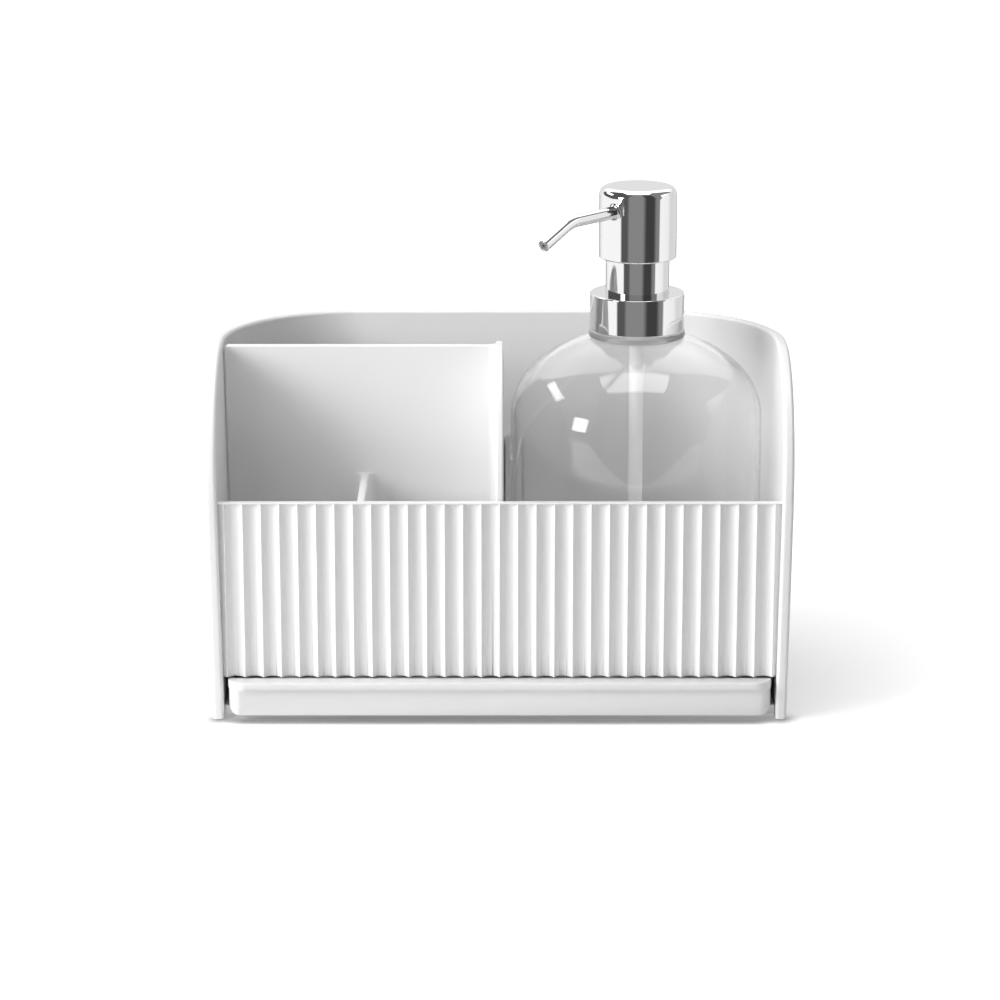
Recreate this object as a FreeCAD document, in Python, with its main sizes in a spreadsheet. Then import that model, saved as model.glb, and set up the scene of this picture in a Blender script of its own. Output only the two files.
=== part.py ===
import FreeCAD
import Part
import Sketcher
import math
import os

# Soap pump caddy. Millimetres, +Z up. The origin is on the surface that the caddy stands on,
# under the middle of the caddy. +X is to the right of someone who faces the fluted front, and
# +Y runs to the back. Each piece is drawn with Y from the plane of the wrap's front edges and Z
# from the wrap's bottom edge, and its placement moves it forward and up from there.

doc = FreeCAD.newDocument("caddy")
sheet = doc.addObject("Spreadsheet::Sheet", "dims")

# Driving dimensions: a name, its value and what it is.
drivingDimensions = [
    ("fitGap", 0.3, "gap between pieces that move apart"),
    ("seatGap", 0.03, "gap between pieces pressed together in one body"),
    ("runGap", 0.05, "radial gap of a running fit"),
    ("rootOverlap", 1.2, "how far a rib or a floor reaches into the wall that carries it"),
    ("cutOverrun", 5.0, "how far a cut runs past what it cuts"),

    ("bottleRadius", 45.4, "bottle, which the wrap is drawn round"),
    ("bottleSideGap", 2.76, "bottle to the wrap's right wall at its foot"),
    ("bottleBayGap", 2.55, "bottle to the tall divider"),
    ("bottleFrontGap", 5.3, "bottle to the fluted panel"),
    ("bottleBackGap", 0.5, "bottle to the wrap's back wall at its foot"),

    ("wrapCornerReach", 4.9, "plan radius of the two back corners, over the bottle's"),
    ("wrapHeight", 125.15, "wrap, from its bottom edge to its top edge"),
    ("wrapWall", 3.9, "wall of the wrap"),
    ("draftShare", 0.0136, "how far the wrap leans out for each unit of height"),
    ("sideArcRadius", 48.7, "radius of the side walls' top front corners"),
    ("rimRound", 1.25, "rounding of the wrap's edges"),

    ("ridgePlane", 2.0, "plane of the flutes' ridges behind the wrap's front edges"),
    ("panelThick", 3.8, "fluted panel from its ridges to its back"),
    ("panelBottom", 14.9, "bottom edge of the fluted panel"),
    ("panelRise", 2.1, "top edge of the panel above the start of the round side corners"),
    ("panelRim", 0.4, "straight rim above the flutes"),
    ("panelEdgeRound", 0.25, "rounding of the panel's top front edge"),
    ("panelBackRound", 1.2, "rounding of the panel's top back edge"),
    ("fluteMargin", 1.31, "outermost whole ridge to the side wall"),
    ("fluteLand", 0.3, "flat width of a ridge"),
    ("fluteDepth", 1.9, "depth of a flute"),

    ("floorThick", 3.0, "drain floor"),
    ("slotWidth", 3.2, "drain slot, across"),
    ("slotLength", 26.0, "drain slot, along"),
    ("slotInset", 13.0, "first slot from the middle of the caddy"),
    ("slotSideInset", 22.46, "last slot from the side wall"),
    ("slotRowFront", 28.0, "middle of the front row of slots"),
    ("slotRowBack", 24.4, "middle of the rear row of slots, from the back wall"),

    ("ribGap", 4.1, "space between two guide ribs"),
    ("ribThick", 0.85, "guide rib, across"),
    ("ribDepth", 3.2, "guide rib, out from its wall"),
    ("lowDrop", 1.35, "top of the low divider, ribs and tail, below the panel's top"),

    ("partitionDrop", 0.95, "top edge of the partition below the wrap's top edge"),
    ("partitionWall", 2.7, "walls of the partition"),
    ("binBackGap", 0.8, "partition's back wall behind the round side corners"),
    ("dividerReach", 6.2, "top of the divider behind the back wall"),
    ("dividerFillet", 2.8, "inner corners of the partition, at the tall divider"),
    ("lowFillet", 3.0, "inner corners of the partition, at the low divider"),
    ("partitionRound", 0.8, "rounding of the partition's top edges"),
    ("partitionCorner", 2.0, "outer top corner of the back wall"),
    ("tailRadius", 9.0, "round inner corner where the divider steps down"),

    ("plateThick", 3.2, "base plate"),
    ("plateBottom", 1.0, "underside of the base plate above the surface"),
    ("plateFit", 0.15, "gap round the base plate"),
    ("footRadius", 6.0, "foot pad"),
    ("footSeat", 0.8, "depth of a foot's seat"),
    ("footProud", 0.4, "feet below the wrap's bottom edge"),
    ("footFrontPlace", 14.0, "front feet from the front"),
    ("footFrontSide", 13.46, "front feet from the side wall"),
    ("footRearBack", 14.4, "rear feet from the back wall"),
    ("footRearSide", 29.46, "rear feet from the side wall"),
    ("footBevel", 0.4, "bevel of a foot's edge"),

    ("traySideGap", 1.7, "drip tray to the wrap's side wall at its foot"),
    ("trayFace", 1.2, "front face of the tray before the wrap's front edges"),
    ("trayWall", 2.0, "walls and floor of the tray"),
    ("trayFrontWall", 4.2, "front wall of the tray, and the rounding of its plan corners"),
    ("trayRim", 13.0, "rim of the tray"),
    ("trayFrontBottom", 1.8, "bottom edge of the tray's front wall"),
    ("trayCorner", 4.0, "bottom corners of the front wall"),
    ("lipTop", 14.3, "top of the pull lip"),
    ("lipThick", 2.9, "pull lip"),
    ("lipReach", 2.4, "lip in front of the tray's front face"),
    ("lipSide", 0.2, "ends of the lip out from the tray's sides"),
    ("lipRound", 0.4, "rounding of the lip's top edge"),

    ("bottleWall", 2.0, "wall of the bottle"),
    ("bottleFloor", 2.6, "floor of the bottle"),
    ("bottleHeel", 6.0, "rounding of the bottle's foot"),
    ("bottleStandWidth", 9.4, "ring that the bottle stands on, from its inner edge to the wall"),
    ("bottlePush", 0.9, "middle of the bottle's underside above its ring"),
    ("domeShift", 3.0, "centre of the dome's curve, out from the axis"),
    ("beadReach", 0.3, "bead under the neck, out from the collar's side"),
    ("beadLedge", 0.76, "bead under the neck, out from the dome"),
    ("neckBeadThick", 2.5, "bead under the neck, in height"),
    ("neckBeadBevel", 0.7, "bevel of the bead"),
    ("neckWall", 2.3, "wall of the neck"),
    ("neckHeight", 8.9, "neck above its bead"),

    ("collarRadius", 17.0, "collar"),
    ("collarHeight", 13.3, "collar"),
    ("collarWall", 0.9, "metal of the collar"),
    ("collarBevel", 0.45, "bevel of the collar's edges"),
    ("closureWall", 1.35, "top wall of the screw cap"),
    ("closureSide", 2.17, "side wall of the screw cap"),
    ("closureBoreGap", 0.6, "screw cap round the neck"),
    ("closureRingWall", 1.3, "ring of the screw cap inside the sleeve"),
    ("closureRingHeight", 7.5, "ring of the screw cap inside the sleeve"),
    ("gasketThick", 0.8, "neck gasket"),
    ("flangeThick", 1.0, "flange of the pump housing"),
    ("flangeInset", 0.7, "flange of the pump housing, inside the neck's outer edge"),

    ("sleeveSideGap", 1.24, "fixed sleeve to the inside of the head"),
    ("sleeveWall", 0.85, "metal of the sleeve"),
    ("sleeveLap", 1.8, "top of the sleeve above the head's bottom edge"),

    ("pumpStroke", 12.0, "travel of the head"),
    ("chamberBore", 5.8, "bore of the pump chamber"),
    ("chamberWall", 1.2, "wall of the pump chamber"),
    ("chamberFloor", 1.2, "floor of the pump chamber"),
    ("chamberRise", 8.92, "top of the pump chamber above its flange"),
    ("chamberLength", 22.6, "pump chamber, from underside to top"),
    ("lockThick", 2.2, "top of the chamber lock"),
    ("lockSkirt", 4.5, "skirt of the chamber lock"),
    ("lockWall", 1.3, "skirt wall of the chamber lock"),
    ("nippleRadius", 1.7, "nipple inside the dip tube"),
    ("nippleLength", 4.0, "nipple inside the dip tube"),
    ("nippleBore", 0.9, "bore of the nipple"),
    ("seatBore", 1.4, "hole under the inlet ball"),
    ("inletBallRadius", 1.9, "inlet ball"),
    ("cageGap", 0.3, "cage round a ball"),
    ("cageWall", 0.8, "wall of the inlet ball's cage"),
    ("cageHeight", 2.2, "cage of the inlet ball"),
    ("tubeRadius", 2.53, "dip tube"),
    ("tubeFoot", 23.2, "lowest point of the dip tube"),
    ("tubeBevel", 4.0, "slanting cut at the foot of the dip tube"),

    ("springRadius", 4.6, "spring, to the middle of the wire"),
    ("springWire", 0.7, "spring wire"),
    ("springTurns", 6, "turns of the spring"),

    ("stemRadius", 3.0, "stem"),
    ("stemBore", 1.2, "bore of the stem"),
    ("stemDrop", 2.6, "top of the stem below the spout's axis"),
    ("outletDepth", 4.5, "seat of the outlet ball below the top of the stem"),
    ("outletBallRadius", 1.7, "outlet ball"),
    ("sealHeight", 3.2, "piston seal"),
    ("sealWall", 0.9, "lips of the piston seal"),
    ("sealLip", 1.0, "depth of the groove in the piston seal"),

    ("headRadius", 13.9, "head"),
    ("headHeight", 25.8, "head"),
    ("headTop", 180.8, "top of the head"),
    ("headWall", 1.2, "metal of the head's side"),
    ("headRoof", 1.5, "metal of the head's top"),
    ("headRound", 3.0, "rounding of the head's top edge"),
    ("headFootBevel", 0.5, "bevel of the head's bottom edge"),
    ("coreBoss", 5.2, "boss of the head's core"),
    ("coreDisc", 2.6, "disc of the head's core"),
    ("coreChannel", 1.5, "soap channel in the head's core"),
    ("coreArm", 3.4, "arm of the core towards the spout"),
    ("coreFit", 0.15, "gap round the core in the head"),

    ("spoutHeadingAngle", 230.0, "way the spout points, in degrees from +X"),
    ("spoutBelow", 7.7, "spout's axis below the top of the head"),
    ("spoutRadius", 2.2, "spout tube"),
    ("spoutBore", 1.4, "bore of the spout tube"),
    ("spoutSpigot", 1.8, "spigot of the spout inside the head"),
    ("spoutSpigotDepth", 8.0, "length of the spigot"),
    ("spoutStubReach", 3.5, "head's stub out from the head's side"),
    ("spoutFlare", 2.3, "rounding where the stub leaves the head"),
    ("spoutKnee", 38.4, "middle of the spout's bend, from the pump's axis"),
    ("spoutDropAngle", 23.0, "slope of the spout's end, in degrees"),
    ("spoutBend", 18.0, "radius of the spout's bend"),
    ("spoutEnd", 16.2, "spout from the middle of its bend to its tip"),
    ("nozzleLength", 5.0, "outlet insert"),
    ("nozzleBore", 0.5, "outlet hole"),
    ("nozzleSink", 0.15, "outlet insert behind the tube's end"),
]

# Counts and shares, which do not grow with the caddy.
fluteCount = 32
slotCount = 6
wireSides = 8
lowDividerShare = 0.4997
quarterTurn = 90.0

for rowNumber, (alias, value, note) in enumerate(drivingDimensions, start=1):
    sheet.set("A%d" % rowNumber, note)
    sheet.set("B%d" % rowNumber, str(value))
    sheet.setAlias("B%d" % rowNumber, alias)
doc.recompute()


# A size is a number together with the sheet expression that gives it, so that a place worked
# out from several cells stays bound to them.
class Size:
    def __init__(self, value, text):
        self.value = float(value)
        self.text = text

    def __add__(self, other):
        return joined(self, other, "+")

    def __sub__(self, other):
        return joined(self, other, "-")

    def __mul__(self, other):
        return joined(self, other, "*")

    def __rmul__(self, other):
        return joined(share(other), self, "*")

    def __truediv__(self, other):
        return joined(self, other, "/")

    def __neg__(self):
        return Size(-self.value, "(0-%s)" % self.text)


def share(number):
    return number if isinstance(number, Size) else Size(number, repr(float(number)))


def joined(first, second, sign):
    first = share(first)
    second = share(second)
    worked = {
        "+": lambda: first.value + second.value,
        "-": lambda: first.value - second.value,
        "*": lambda: first.value * second.value,
        "/": lambda: first.value / second.value,
    }[sign]()
    return Size(worked, "(%s%s%s)" % (first.text, sign, second.text))


def root(size):
    return Size(math.sqrt(size.value), "sqrt(%s)" % size.text)


def cosine(angle):
    return Size(math.cos(math.radians(angle.value)), "cos(%s*1deg)" % angle.text)


def sine(angle):
    return Size(math.sin(math.radians(angle.value)), "sin(%s*1deg)" % angle.text)


def cell(alias):
    return Size(float(sheet.get(alias)), "dims." + alias)


nothing = Size(0.0, "0")
size = {alias: cell(alias) for alias, value, note in drivingDimensions}

# Wrap, panel and floor, from the bottle that they stand round.
panelBack = size["ridgePlane"] + size["panelThick"]
bottlePlaceX = size["partitionWall"] / 2 + size["bottleBayGap"] + size["bottleRadius"]
bottlePlaceY = panelBack + size["bottleFrontGap"] + size["bottleRadius"]
wrapInnerFoot = bottlePlaceX + size["bottleRadius"] + size["bottleSideGap"]
wrapHalfWidth = wrapInnerFoot + size["wrapWall"]
backInnerFoot = bottlePlaceY + size["bottleRadius"] + size["bottleBackGap"]
wrapDepth = backInnerFoot + size["wrapWall"]
wrapCornerRadius = size["bottleRadius"] + size["wrapCornerReach"]
wrapLean = size["draftShare"] * size["wrapHeight"]
middleY = (wrapDepth + wrapLean - size["trayFace"] - size["lipReach"]) / 2
arcFoot = size["wrapHeight"] - size["sideArcRadius"]
panelTop = arcFoot + size["panelRise"]
floorBottom = size["panelBottom"]
floorTop = floorBottom + size["floorThick"]
ridgeSpan = 2 * (wrapInnerFoot - size["fluteMargin"])
flutePitch = ridgeSpan / (fluteCount - 2)
slotSpan = wrapInnerFoot - size["slotInset"] - size["slotSideInset"]
slotPitch = slotSpan / (slotCount - 1)

# Partition and tray, from the wrap.
lowTop = panelTop - size["lowDrop"]
partitionTop = size["wrapHeight"] - size["partitionDrop"]
binBackFace = size["sideArcRadius"] + size["binBackGap"]
lowDividerPlace = wrapInnerFoot * lowDividerShare
trayHalfWidth = wrapInnerFoot - size["traySideGap"]
trayFrontBack = size["trayFrontWall"] - size["trayFace"]

# Pump, from the top of its head down to the bottle's neck.
headBottom = size["headTop"] - size["headHeight"]
spoutLevel = size["headTop"] - size["spoutBelow"]
spoutStub = size["headRadius"] + size["spoutStubReach"]
stemTop = spoutLevel - size["stemDrop"]
outletSeat = stemTop - size["outletDepth"]
sleeveTop = headBottom + size["sleeveLap"]
sleeveRadius = size["headRadius"] - size["headWall"] - size["sleeveSideGap"]
closureOuter = size["collarRadius"] - size["collarWall"] - size["seatGap"]
closureBore = closureOuter - size["closureSide"]
neckRadius = closureBore - size["closureBoreGap"]
neckBore = neckRadius - size["neckWall"]
flangeRadius = neckRadius - size["flangeInset"]
collarTop = headBottom - size["pumpStroke"] - size["fitGap"] * 2 - size["seatGap"] * 4
collarFoot = collarTop - size["collarHeight"]
beadTop = collarFoot - size["fitGap"]
neckTop = beadTop + size["neckHeight"]
gasketFoot = neckTop + size["fitGap"]
flangeFoot = gasketFoot + size["gasketThick"]
flangeTop = flangeFoot + size["flangeThick"]
closureUnder = flangeTop + size["fitGap"]
closureTop = closureUnder + size["closureWall"]
housingTop = flangeFoot + size["chamberRise"]
housingBottom = housingTop - size["chamberLength"]
sealFoot = housingTop - size["sealHeight"] - size["fitGap"]


# Body, sketch and feature helpers.
def newBody(label, placeX=nothing, placeY=nothing, placeZ=nothing, rotation=None):
    body = doc.addObject("PartDesign::Body", label)
    body.Label = label
    placeY = placeY - middleY
    placeZ = placeZ + size["footProud"]
    base = FreeCAD.Vector(placeX.value, placeY.value, placeZ.value)
    body.Placement = FreeCAD.Placement(base, rotation or FreeCAD.Rotation())
    for axisName, place in (("x", placeX), ("y", placeY), ("z", placeZ)):
        body.setExpression("Placement.Base." + axisName, place.text)
    return body


def newSketch(body, name, role, offset=None):
    sketch = body.newObject("Sketcher::SketchObject", name)
    plane = [item for item in body.Origin.OriginFeatures if item.Role == role][0]
    sketch.AttachmentSupport = [(plane, "")]
    sketch.MapMode = "FlatFace"
    if offset is not None:
        sketch.AttachmentOffset = FreeCAD.Placement(
            FreeCAD.Vector(0, 0, offset.value), FreeCAD.Rotation())
        sketch.setExpression("AttachmentOffset.Base.z", offset.text)
    return sketch


def pinPoint(sketch, geometry, end, across, along):
    for kind, axis, place in (("DistanceX", -2, across), ("DistanceY", -1, along)):
        if place.text == nothing.text:
            sketch.addConstraint(Sketcher.Constraint("PointOnObject", geometry, end, axis))
        else:
            number = sketch.addConstraint(
                Sketcher.Constraint(kind, -1, 1, geometry, end, place.value))
            sketch.setExpression("Constraints[%d]" % number, place.text)


# A closed outline through points. A point is (across, along) or (across, along, radius), where
# the radius bends the stretch from that point to the next, to the left when it is above zero
# and to the right when it is below.
def drawOutline(sketch, points):
    ends = []
    for number, point in enumerate(points):
        following = points[(number + 1) % len(points)]
        start = FreeCAD.Vector(point[0].value, point[1].value, 0)
        stop = FreeCAD.Vector(following[0].value, following[1].value, 0)
        if len(point) == 2:
            geometry = sketch.addGeometry(Part.LineSegment(start, stop), False)
            ends.append((geometry, 1, 2))
            continue
        radius = point[2]
        leftward = radius.value > 0
        length = abs(radius.value)
        chord = stop - start
        middle = (start + stop) * 0.5
        rise = math.sqrt(max(length * length - chord.Length * chord.Length / 4, 0.0))
        normal = FreeCAD.Vector(-chord.y, chord.x, 0)
        normal.normalize()
        centre = middle + normal * (rise if leftward else -rise)
        first, last = (start, stop) if leftward else (stop, start)
        startAngle = math.atan2(first.y - centre.y, first.x - centre.x)
        stopAngle = math.atan2(last.y - centre.y, last.x - centre.x)
        circle = Part.Circle(centre, FreeCAD.Vector(0, 0, 1), length)
        geometry = sketch.addGeometry(Part.ArcOfCircle(circle, startAngle, stopAngle), False)
        ends.append((geometry, 1, 2) if leftward else (geometry, 2, 1))
        bound = radius if leftward else -radius
        constraint = sketch.addConstraint(Sketcher.Constraint("Radius", geometry, length))
        sketch.setExpression("Constraints[%d]" % constraint, bound.text)
    for number, point in enumerate(points):
        geometry, first, last = ends[number]
        previous = ends[number - 1]
        sketch.addConstraint(
            Sketcher.Constraint("Coincident", previous[0], previous[2], geometry, first))
        pinPoint(sketch, geometry, first, point[0], point[1])


def drawCircle(sketch, across, along, radius):
    centre = FreeCAD.Vector(across.value, along.value, 0)
    geometry = sketch.addGeometry(
        Part.Circle(centre, FreeCAD.Vector(0, 0, 1), radius.value), False)
    pinPoint(sketch, geometry, 3, across, along)
    constraint = sketch.addConstraint(Sketcher.Constraint("Radius", geometry, radius.value))
    sketch.setExpression("Constraints[%d]" % constraint, radius.text)


def drawRectangle(sketch, left, right, low, high):
    drawOutline(sketch, [(left, low), (right, low), (right, high), (left, high)])


def extrude(body, kind, sketch, name, length, symmetric=False, reverse=False):
    feature = body.newObject("PartDesign::" + kind, name)
    feature.Profile = sketch
    feature.Length = length.value
    feature.setExpression("Length", length.text)
    feature.SideType = "Symmetric" if symmetric else "One side"
    feature.Reversed = reverse
    sketch.Visibility = False
    doc.recompute()
    return feature


def turn(body, kind, sketch, name):
    feature = body.newObject("PartDesign::" + kind, name)
    feature.Profile = sketch
    feature.ReferenceAxis = (sketch, ["V_Axis"])
    feature.Angle = 4 * quarterTurn
    doc.recompute()
    return feature


# Repeats a feature along the sketch's own direction, which axisName names.
def repeat(body, feature, sketch, axisName, name, count, pitch):
    pattern = body.newObject("PartDesign::LinearPattern", name)
    pattern.Originals = [feature]
    pattern.Direction = (sketch, [axisName])
    pattern.Mode = "Spacing"
    pattern.Offset = pitch.value
    pattern.setExpression("Offset", pitch.text)
    pattern.Occurrences = count
    body.Tip = pattern
    doc.recompute()
    return pattern


def roundEdges(body, name, radius, wanted):
    base = body.Tip
    chosen = ["Edge%d" % (number + 1) for number, edge in enumerate(base.Shape.Edges)
              if wanted(edge)]
    feature = body.newObject("PartDesign::Fillet", name)
    feature.Base = (base, chosen)
    feature.Radius = radius.value
    feature.setExpression("Radius", radius.text)
    doc.recompute()
    return feature


def near(first, second):
    return abs(first - second) < tolerance


tolerance = 0.01
edgeSampleShares = (0.0, 0.3, 0.5, 0.8, 1.0)


def samples(edge):
    span = edge.LastParameter - edge.FirstParameter
    return [edge.valueAt(edge.FirstParameter + part * span) for part in edgeSampleShares]


# The round-backed plan that the floor, the base plate and the tray share. grow is how far it
# stands out from the wrap's inner wall at its foot.
def drawPlan(sketch, front, grow):
    inner = wrapInnerFoot + grow
    rear = backInnerFoot + grow
    radius = wrapCornerRadius - size["wrapWall"] + grow
    drawOutline(sketch, [
        (-inner, front),
        (inner, front),
        (inner, rear - radius, radius),
        (inner - radius, rear),
        (radius - inner, rear, radius),
        (-inner, rear - radius),
    ])


def wrapInner(height):
    return wrapInnerFoot + size["draftShare"] * height


# Caddy shell: the wrap with its fluted front panel and drain floor, one white moulding.
def makeShell():
    body = newBody("caddy_shell")
    overlap = size["rootOverlap"]
    panelEnd = wrapInnerFoot + overlap

    panelSketch = newSketch(body, "panelOutline", "XY_Plane", size["panelBottom"])
    drawRectangle(panelSketch, -panelEnd, panelEnd, size["ridgePlane"], panelBack)
    extrude(body, "Pad", panelSketch, "panel", panelTop - size["panelBottom"])

    halfFlute = (flutePitch - size["fluteLand"]) / 2
    depth = size["fluteDepth"]
    cutterRadius = (halfFlute * halfFlute + depth * depth) / (2 * depth)
    firstFlute = -((fluteCount - 1) / 2 * flutePitch)
    fluteSketch = newSketch(body, "fluteOutline", "XY_Plane", size["panelBottom"])
    drawCircle(fluteSketch, firstFlute, size["ridgePlane"] + depth - cutterRadius, cutterRadius)
    fluteLength = panelTop - size["panelRim"] - size["panelBottom"]
    flute = extrude(body, "Pocket", fluteSketch, "flute", fluteLength, reverse=True)
    repeat(body, flute, fluteSketch, "H_Axis", "flutes", fluteCount, flutePitch)

    roundEdges(body, "panelFrontRound", size["panelEdgeRound"], isPanelFrontEdge)
    roundEdges(body, "panelBackRound", size["panelBackRound"], isPanelBackEdge)

    sectionSketch = newSketch(body, "wrapSection", "XZ_Plane")
    outer = wrapHalfWidth
    drawOutline(sectionSketch, [
        (wrapInnerFoot, nothing),
        (outer, nothing),
        (outer + wrapLean, size["wrapHeight"]),
        (wrapInnerFoot + wrapLean, size["wrapHeight"]),
    ])
    pathSketch = newSketch(body, "wrapPath", "XY_Plane")
    drawWrapPath(pathSketch)
    wrap = body.newObject("PartDesign::AdditivePipe", "wrap")
    wrap.Profile = sectionSketch
    wrap.Spine = pathSketch
    doc.recompute()

    floorSketch = newSketch(body, "floorOutline", "XY_Plane", floorBottom)
    drawPlan(floorSketch, panelBack - overlap, overlap)
    extrude(body, "Pad", floorSketch, "drainFloor", size["floorThick"])

    cutSketch = newSketch(body, "sideProfile", "YZ_Plane")
    over = size["cutOverrun"]
    drawOutline(cutSketch, [
        (nothing, arcFoot, -size["sideArcRadius"]),
        (size["sideArcRadius"], size["wrapHeight"]),
        (size["sideArcRadius"], size["wrapHeight"] + over),
        (-over, size["wrapHeight"] + over),
        (-over, arcFoot),
    ])
    cutWidth = 2 * (outer + wrapLean + over)
    extrude(body, "Pocket", cutSketch, "sideCorners", cutWidth, symmetric=True)
    roundEdges(body, "wrapRounds", size["rimRound"], isRimEdge)

    ribSketch = newSketch(body, "ribOutline", "XY_Plane", floorTop - overlap)
    ribIn = size["ribGap"] / 2
    ribOut = ribIn + size["ribThick"]
    ribFace = backInnerFoot + size["draftShare"] * lowTop - size["ribDepth"]
    for side in (1, -1):
        left, right = (ribIn, ribOut) if side > 0 else (-ribOut, -ribIn)
        drawRectangle(ribSketch, left, right, ribFace, backInnerFoot + overlap * 2)
        drawRectangle(ribSketch, left, right, panelBack - overlap, panelBack + size["ribDepth"])
    extrude(body, "Pad", ribSketch, "guideRibs", lowTop - floorTop + overlap)

    slotSketch = newSketch(body, "slotOutline", "XY_Plane", floorBottom - over)
    firstRight = size["slotInset"]
    firstLeft = -(size["slotInset"] + slotSpan)
    for across in (firstLeft, firstRight):
        for along in (size["slotRowFront"], backInnerFoot - size["slotRowBack"]):
            drawSlot(slotSketch, across, along)
    slot = extrude(body, "Pocket", slotSketch, "drainSlot",
                   size["floorThick"] + over * 2, reverse=True)
    repeat(body, slot, slotSketch, "H_Axis", "drainSlots", slotCount, slotPitch)
    return body


def drawWrapPath(sketch):
    outer = wrapHalfWidth
    rear = wrapDepth
    radius = wrapCornerRadius
    straight = rear - radius
    corners = [
        (outer, nothing), (outer, straight), (outer - radius, rear),
        (radius - outer, rear), (-outer, straight), (-outer, nothing),
    ]
    previous = None
    for number in range(len(corners) - 1):
        start = FreeCAD.Vector(corners[number][0].value, corners[number][1].value, 0)
        stop = FreeCAD.Vector(corners[number + 1][0].value, corners[number + 1][1].value, 0)
        if number in (1, 3):
            middleX = (outer - radius).value * (1 if number == 1 else -1)
            centre = FreeCAD.Vector(middleX, straight.value, 0)
            circle = Part.Circle(centre, FreeCAD.Vector(0, 0, 1), radius.value)
            angle = 0.0 if number == 1 else math.pi / 2
            arc = Part.ArcOfCircle(circle, angle, angle + math.pi / 2)
            geometry = sketch.addGeometry(arc, False)
            constraint = sketch.addConstraint(
                Sketcher.Constraint("Radius", geometry, radius.value))
            sketch.setExpression("Constraints[%d]" % constraint, radius.text)
        else:
            geometry = sketch.addGeometry(Part.LineSegment(start, stop), False)
        pinPoint(sketch, geometry, 1, corners[number][0], corners[number][1])
        if previous is not None:
            sketch.addConstraint(Sketcher.Constraint("Coincident", previous, 2, geometry, 1))
        previous = geometry
    pinPoint(sketch, previous, 2, corners[-1][0], corners[-1][1])


def drawSlot(sketch, across, along):
    half = size["slotWidth"] / 2
    straight = size["slotLength"] / 2 - half
    drawOutline(sketch, [
        (across + half, along - straight),
        (across + half, along + straight, half),
        (across, along + straight + half, half),
        (across - half, along + straight),
        (across - half, along - straight, half),
        (across, along - straight - half, half),
    ])


def isPanelFrontEdge(edge):
    return isPanelTopEdge(edge, size["ridgePlane"].value)


def isPanelBackEdge(edge):
    return isPanelTopEdge(edge, panelBack.value)


def isPanelTopEdge(edge, place):
    onLine = all(near(point.z, panelTop.value) and near(point.y, place) for point in samples(edge))
    return onLine and edge.Length > size["panelThick"].value * 2


# The rim is the swept line of the wrap's front edges, side arcs and top edge.
def isRimEdge(edge):
    if edge.Length < size["wrapWall"].value * 2:
        return False
    for point in samples(edge):
        onFront = near(point.y, 0.0) and point.z < arcFoot.value + tolerance
        onTop = near(point.z, size["wrapHeight"].value)
        reach = math.hypot(point.y - size["sideArcRadius"].value, point.z - arcFoot.value)
        onArc = near(reach, size["sideArcRadius"].value)
        onArc = onArc and point.z > arcFoot.value - tolerance
        if not (onFront or onTop or onArc):
            return False
    return True


# Partition: the bins' back wall, the tall divider with its tail, and the low divider.
def makePartition():
    body = newBody("partition_insert")
    wall = size["partitionWall"]
    gap = size["fitGap"]
    foot = floorTop + gap
    top = partitionTop
    corner = size["partitionCorner"]
    face = binBackFace

    backSketch = newSketch(body, "backOutline", "XZ_Plane", -face)
    leftFoot = wrapInner(foot) - gap
    leftTop = wrapInner(top) - gap
    drawOutline(backSketch, [
        (nothing, foot),
        (nothing, top),
        (corner - leftTop, top, corner),
        (-leftTop, top - corner),
        (-leftFoot, foot),
    ])
    extrude(body, "Pad", backSketch, "binBack", wall, reverse=True)

    dividerSketch = newSketch(body, "dividerOutline", "YZ_Plane")
    front = panelBack + gap + size["seatGap"]
    archRadius = size["sideArcRadius"] - front
    rear = face + wall + size["dividerReach"]
    tailTop = lowTop
    tailEnd = backInnerFoot + size["draftShare"] * foot - gap
    tailRadius = size["tailRadius"]
    drawOutline(dividerSketch, [
        (front, foot),
        (tailEnd, foot),
        (tailEnd, tailTop),
        (rear + tailRadius, tailTop, -tailRadius),
        (rear, tailTop + tailRadius),
        (rear, top - corner, corner),
        (rear - corner, top),
        (size["sideArcRadius"], top, archRadius),
        (front, top - archRadius),
    ])
    extrude(body, "Pad", dividerSketch, "divider", wall, symmetric=True)

    lowSketch = newSketch(body, "lowOutline", "YZ_Plane", -lowDividerPlace)
    drawRectangle(lowSketch, front, face + wall / 2, foot, tailTop)
    extrude(body, "Pad", lowSketch, "lowDivider", wall, symmetric=True)

    roundEdges(body, "tallFillets", size["dividerFillet"], isTallCorner)
    roundEdges(body, "lowFillets", size["lowFillet"], isLowCorner)
    roundEdges(body, "lowRounds", size["partitionRound"], isLowTopEdge)
    roundEdges(body, "tallRounds", size["partitionRound"], isTallTopEdge)
    return body


def isUpright(edge):
    points = samples(edge)
    return all(near(point.x, points[0].x) and near(point.y, points[0].y) for point in points)


def isTallCorner(edge):
    if not isUpright(edge):
        return False
    point = edge.valueAt(edge.FirstParameter)
    face = binBackFace.value
    wall = size["partitionWall"].value
    return near(point.x, -wall / 2) and (near(point.y, face) or near(point.y, face + wall))


def isLowCorner(edge):
    if not isUpright(edge):
        return False
    point = edge.valueAt(edge.FirstParameter)
    offset = abs(point.x + lowDividerPlace.value)
    return near(offset, size["partitionWall"].value / 2) and near(point.y, binBackFace.value)


def isLowTopEdge(edge):
    points = samples(edge)
    wall = size["partitionWall"].value / 2
    lowPlace = lowDividerPlace.value
    beside = all(near(abs(point.x + lowPlace), wall) for point in points)
    return beside and all(near(point.z, lowTop.value) for point in points)


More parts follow.
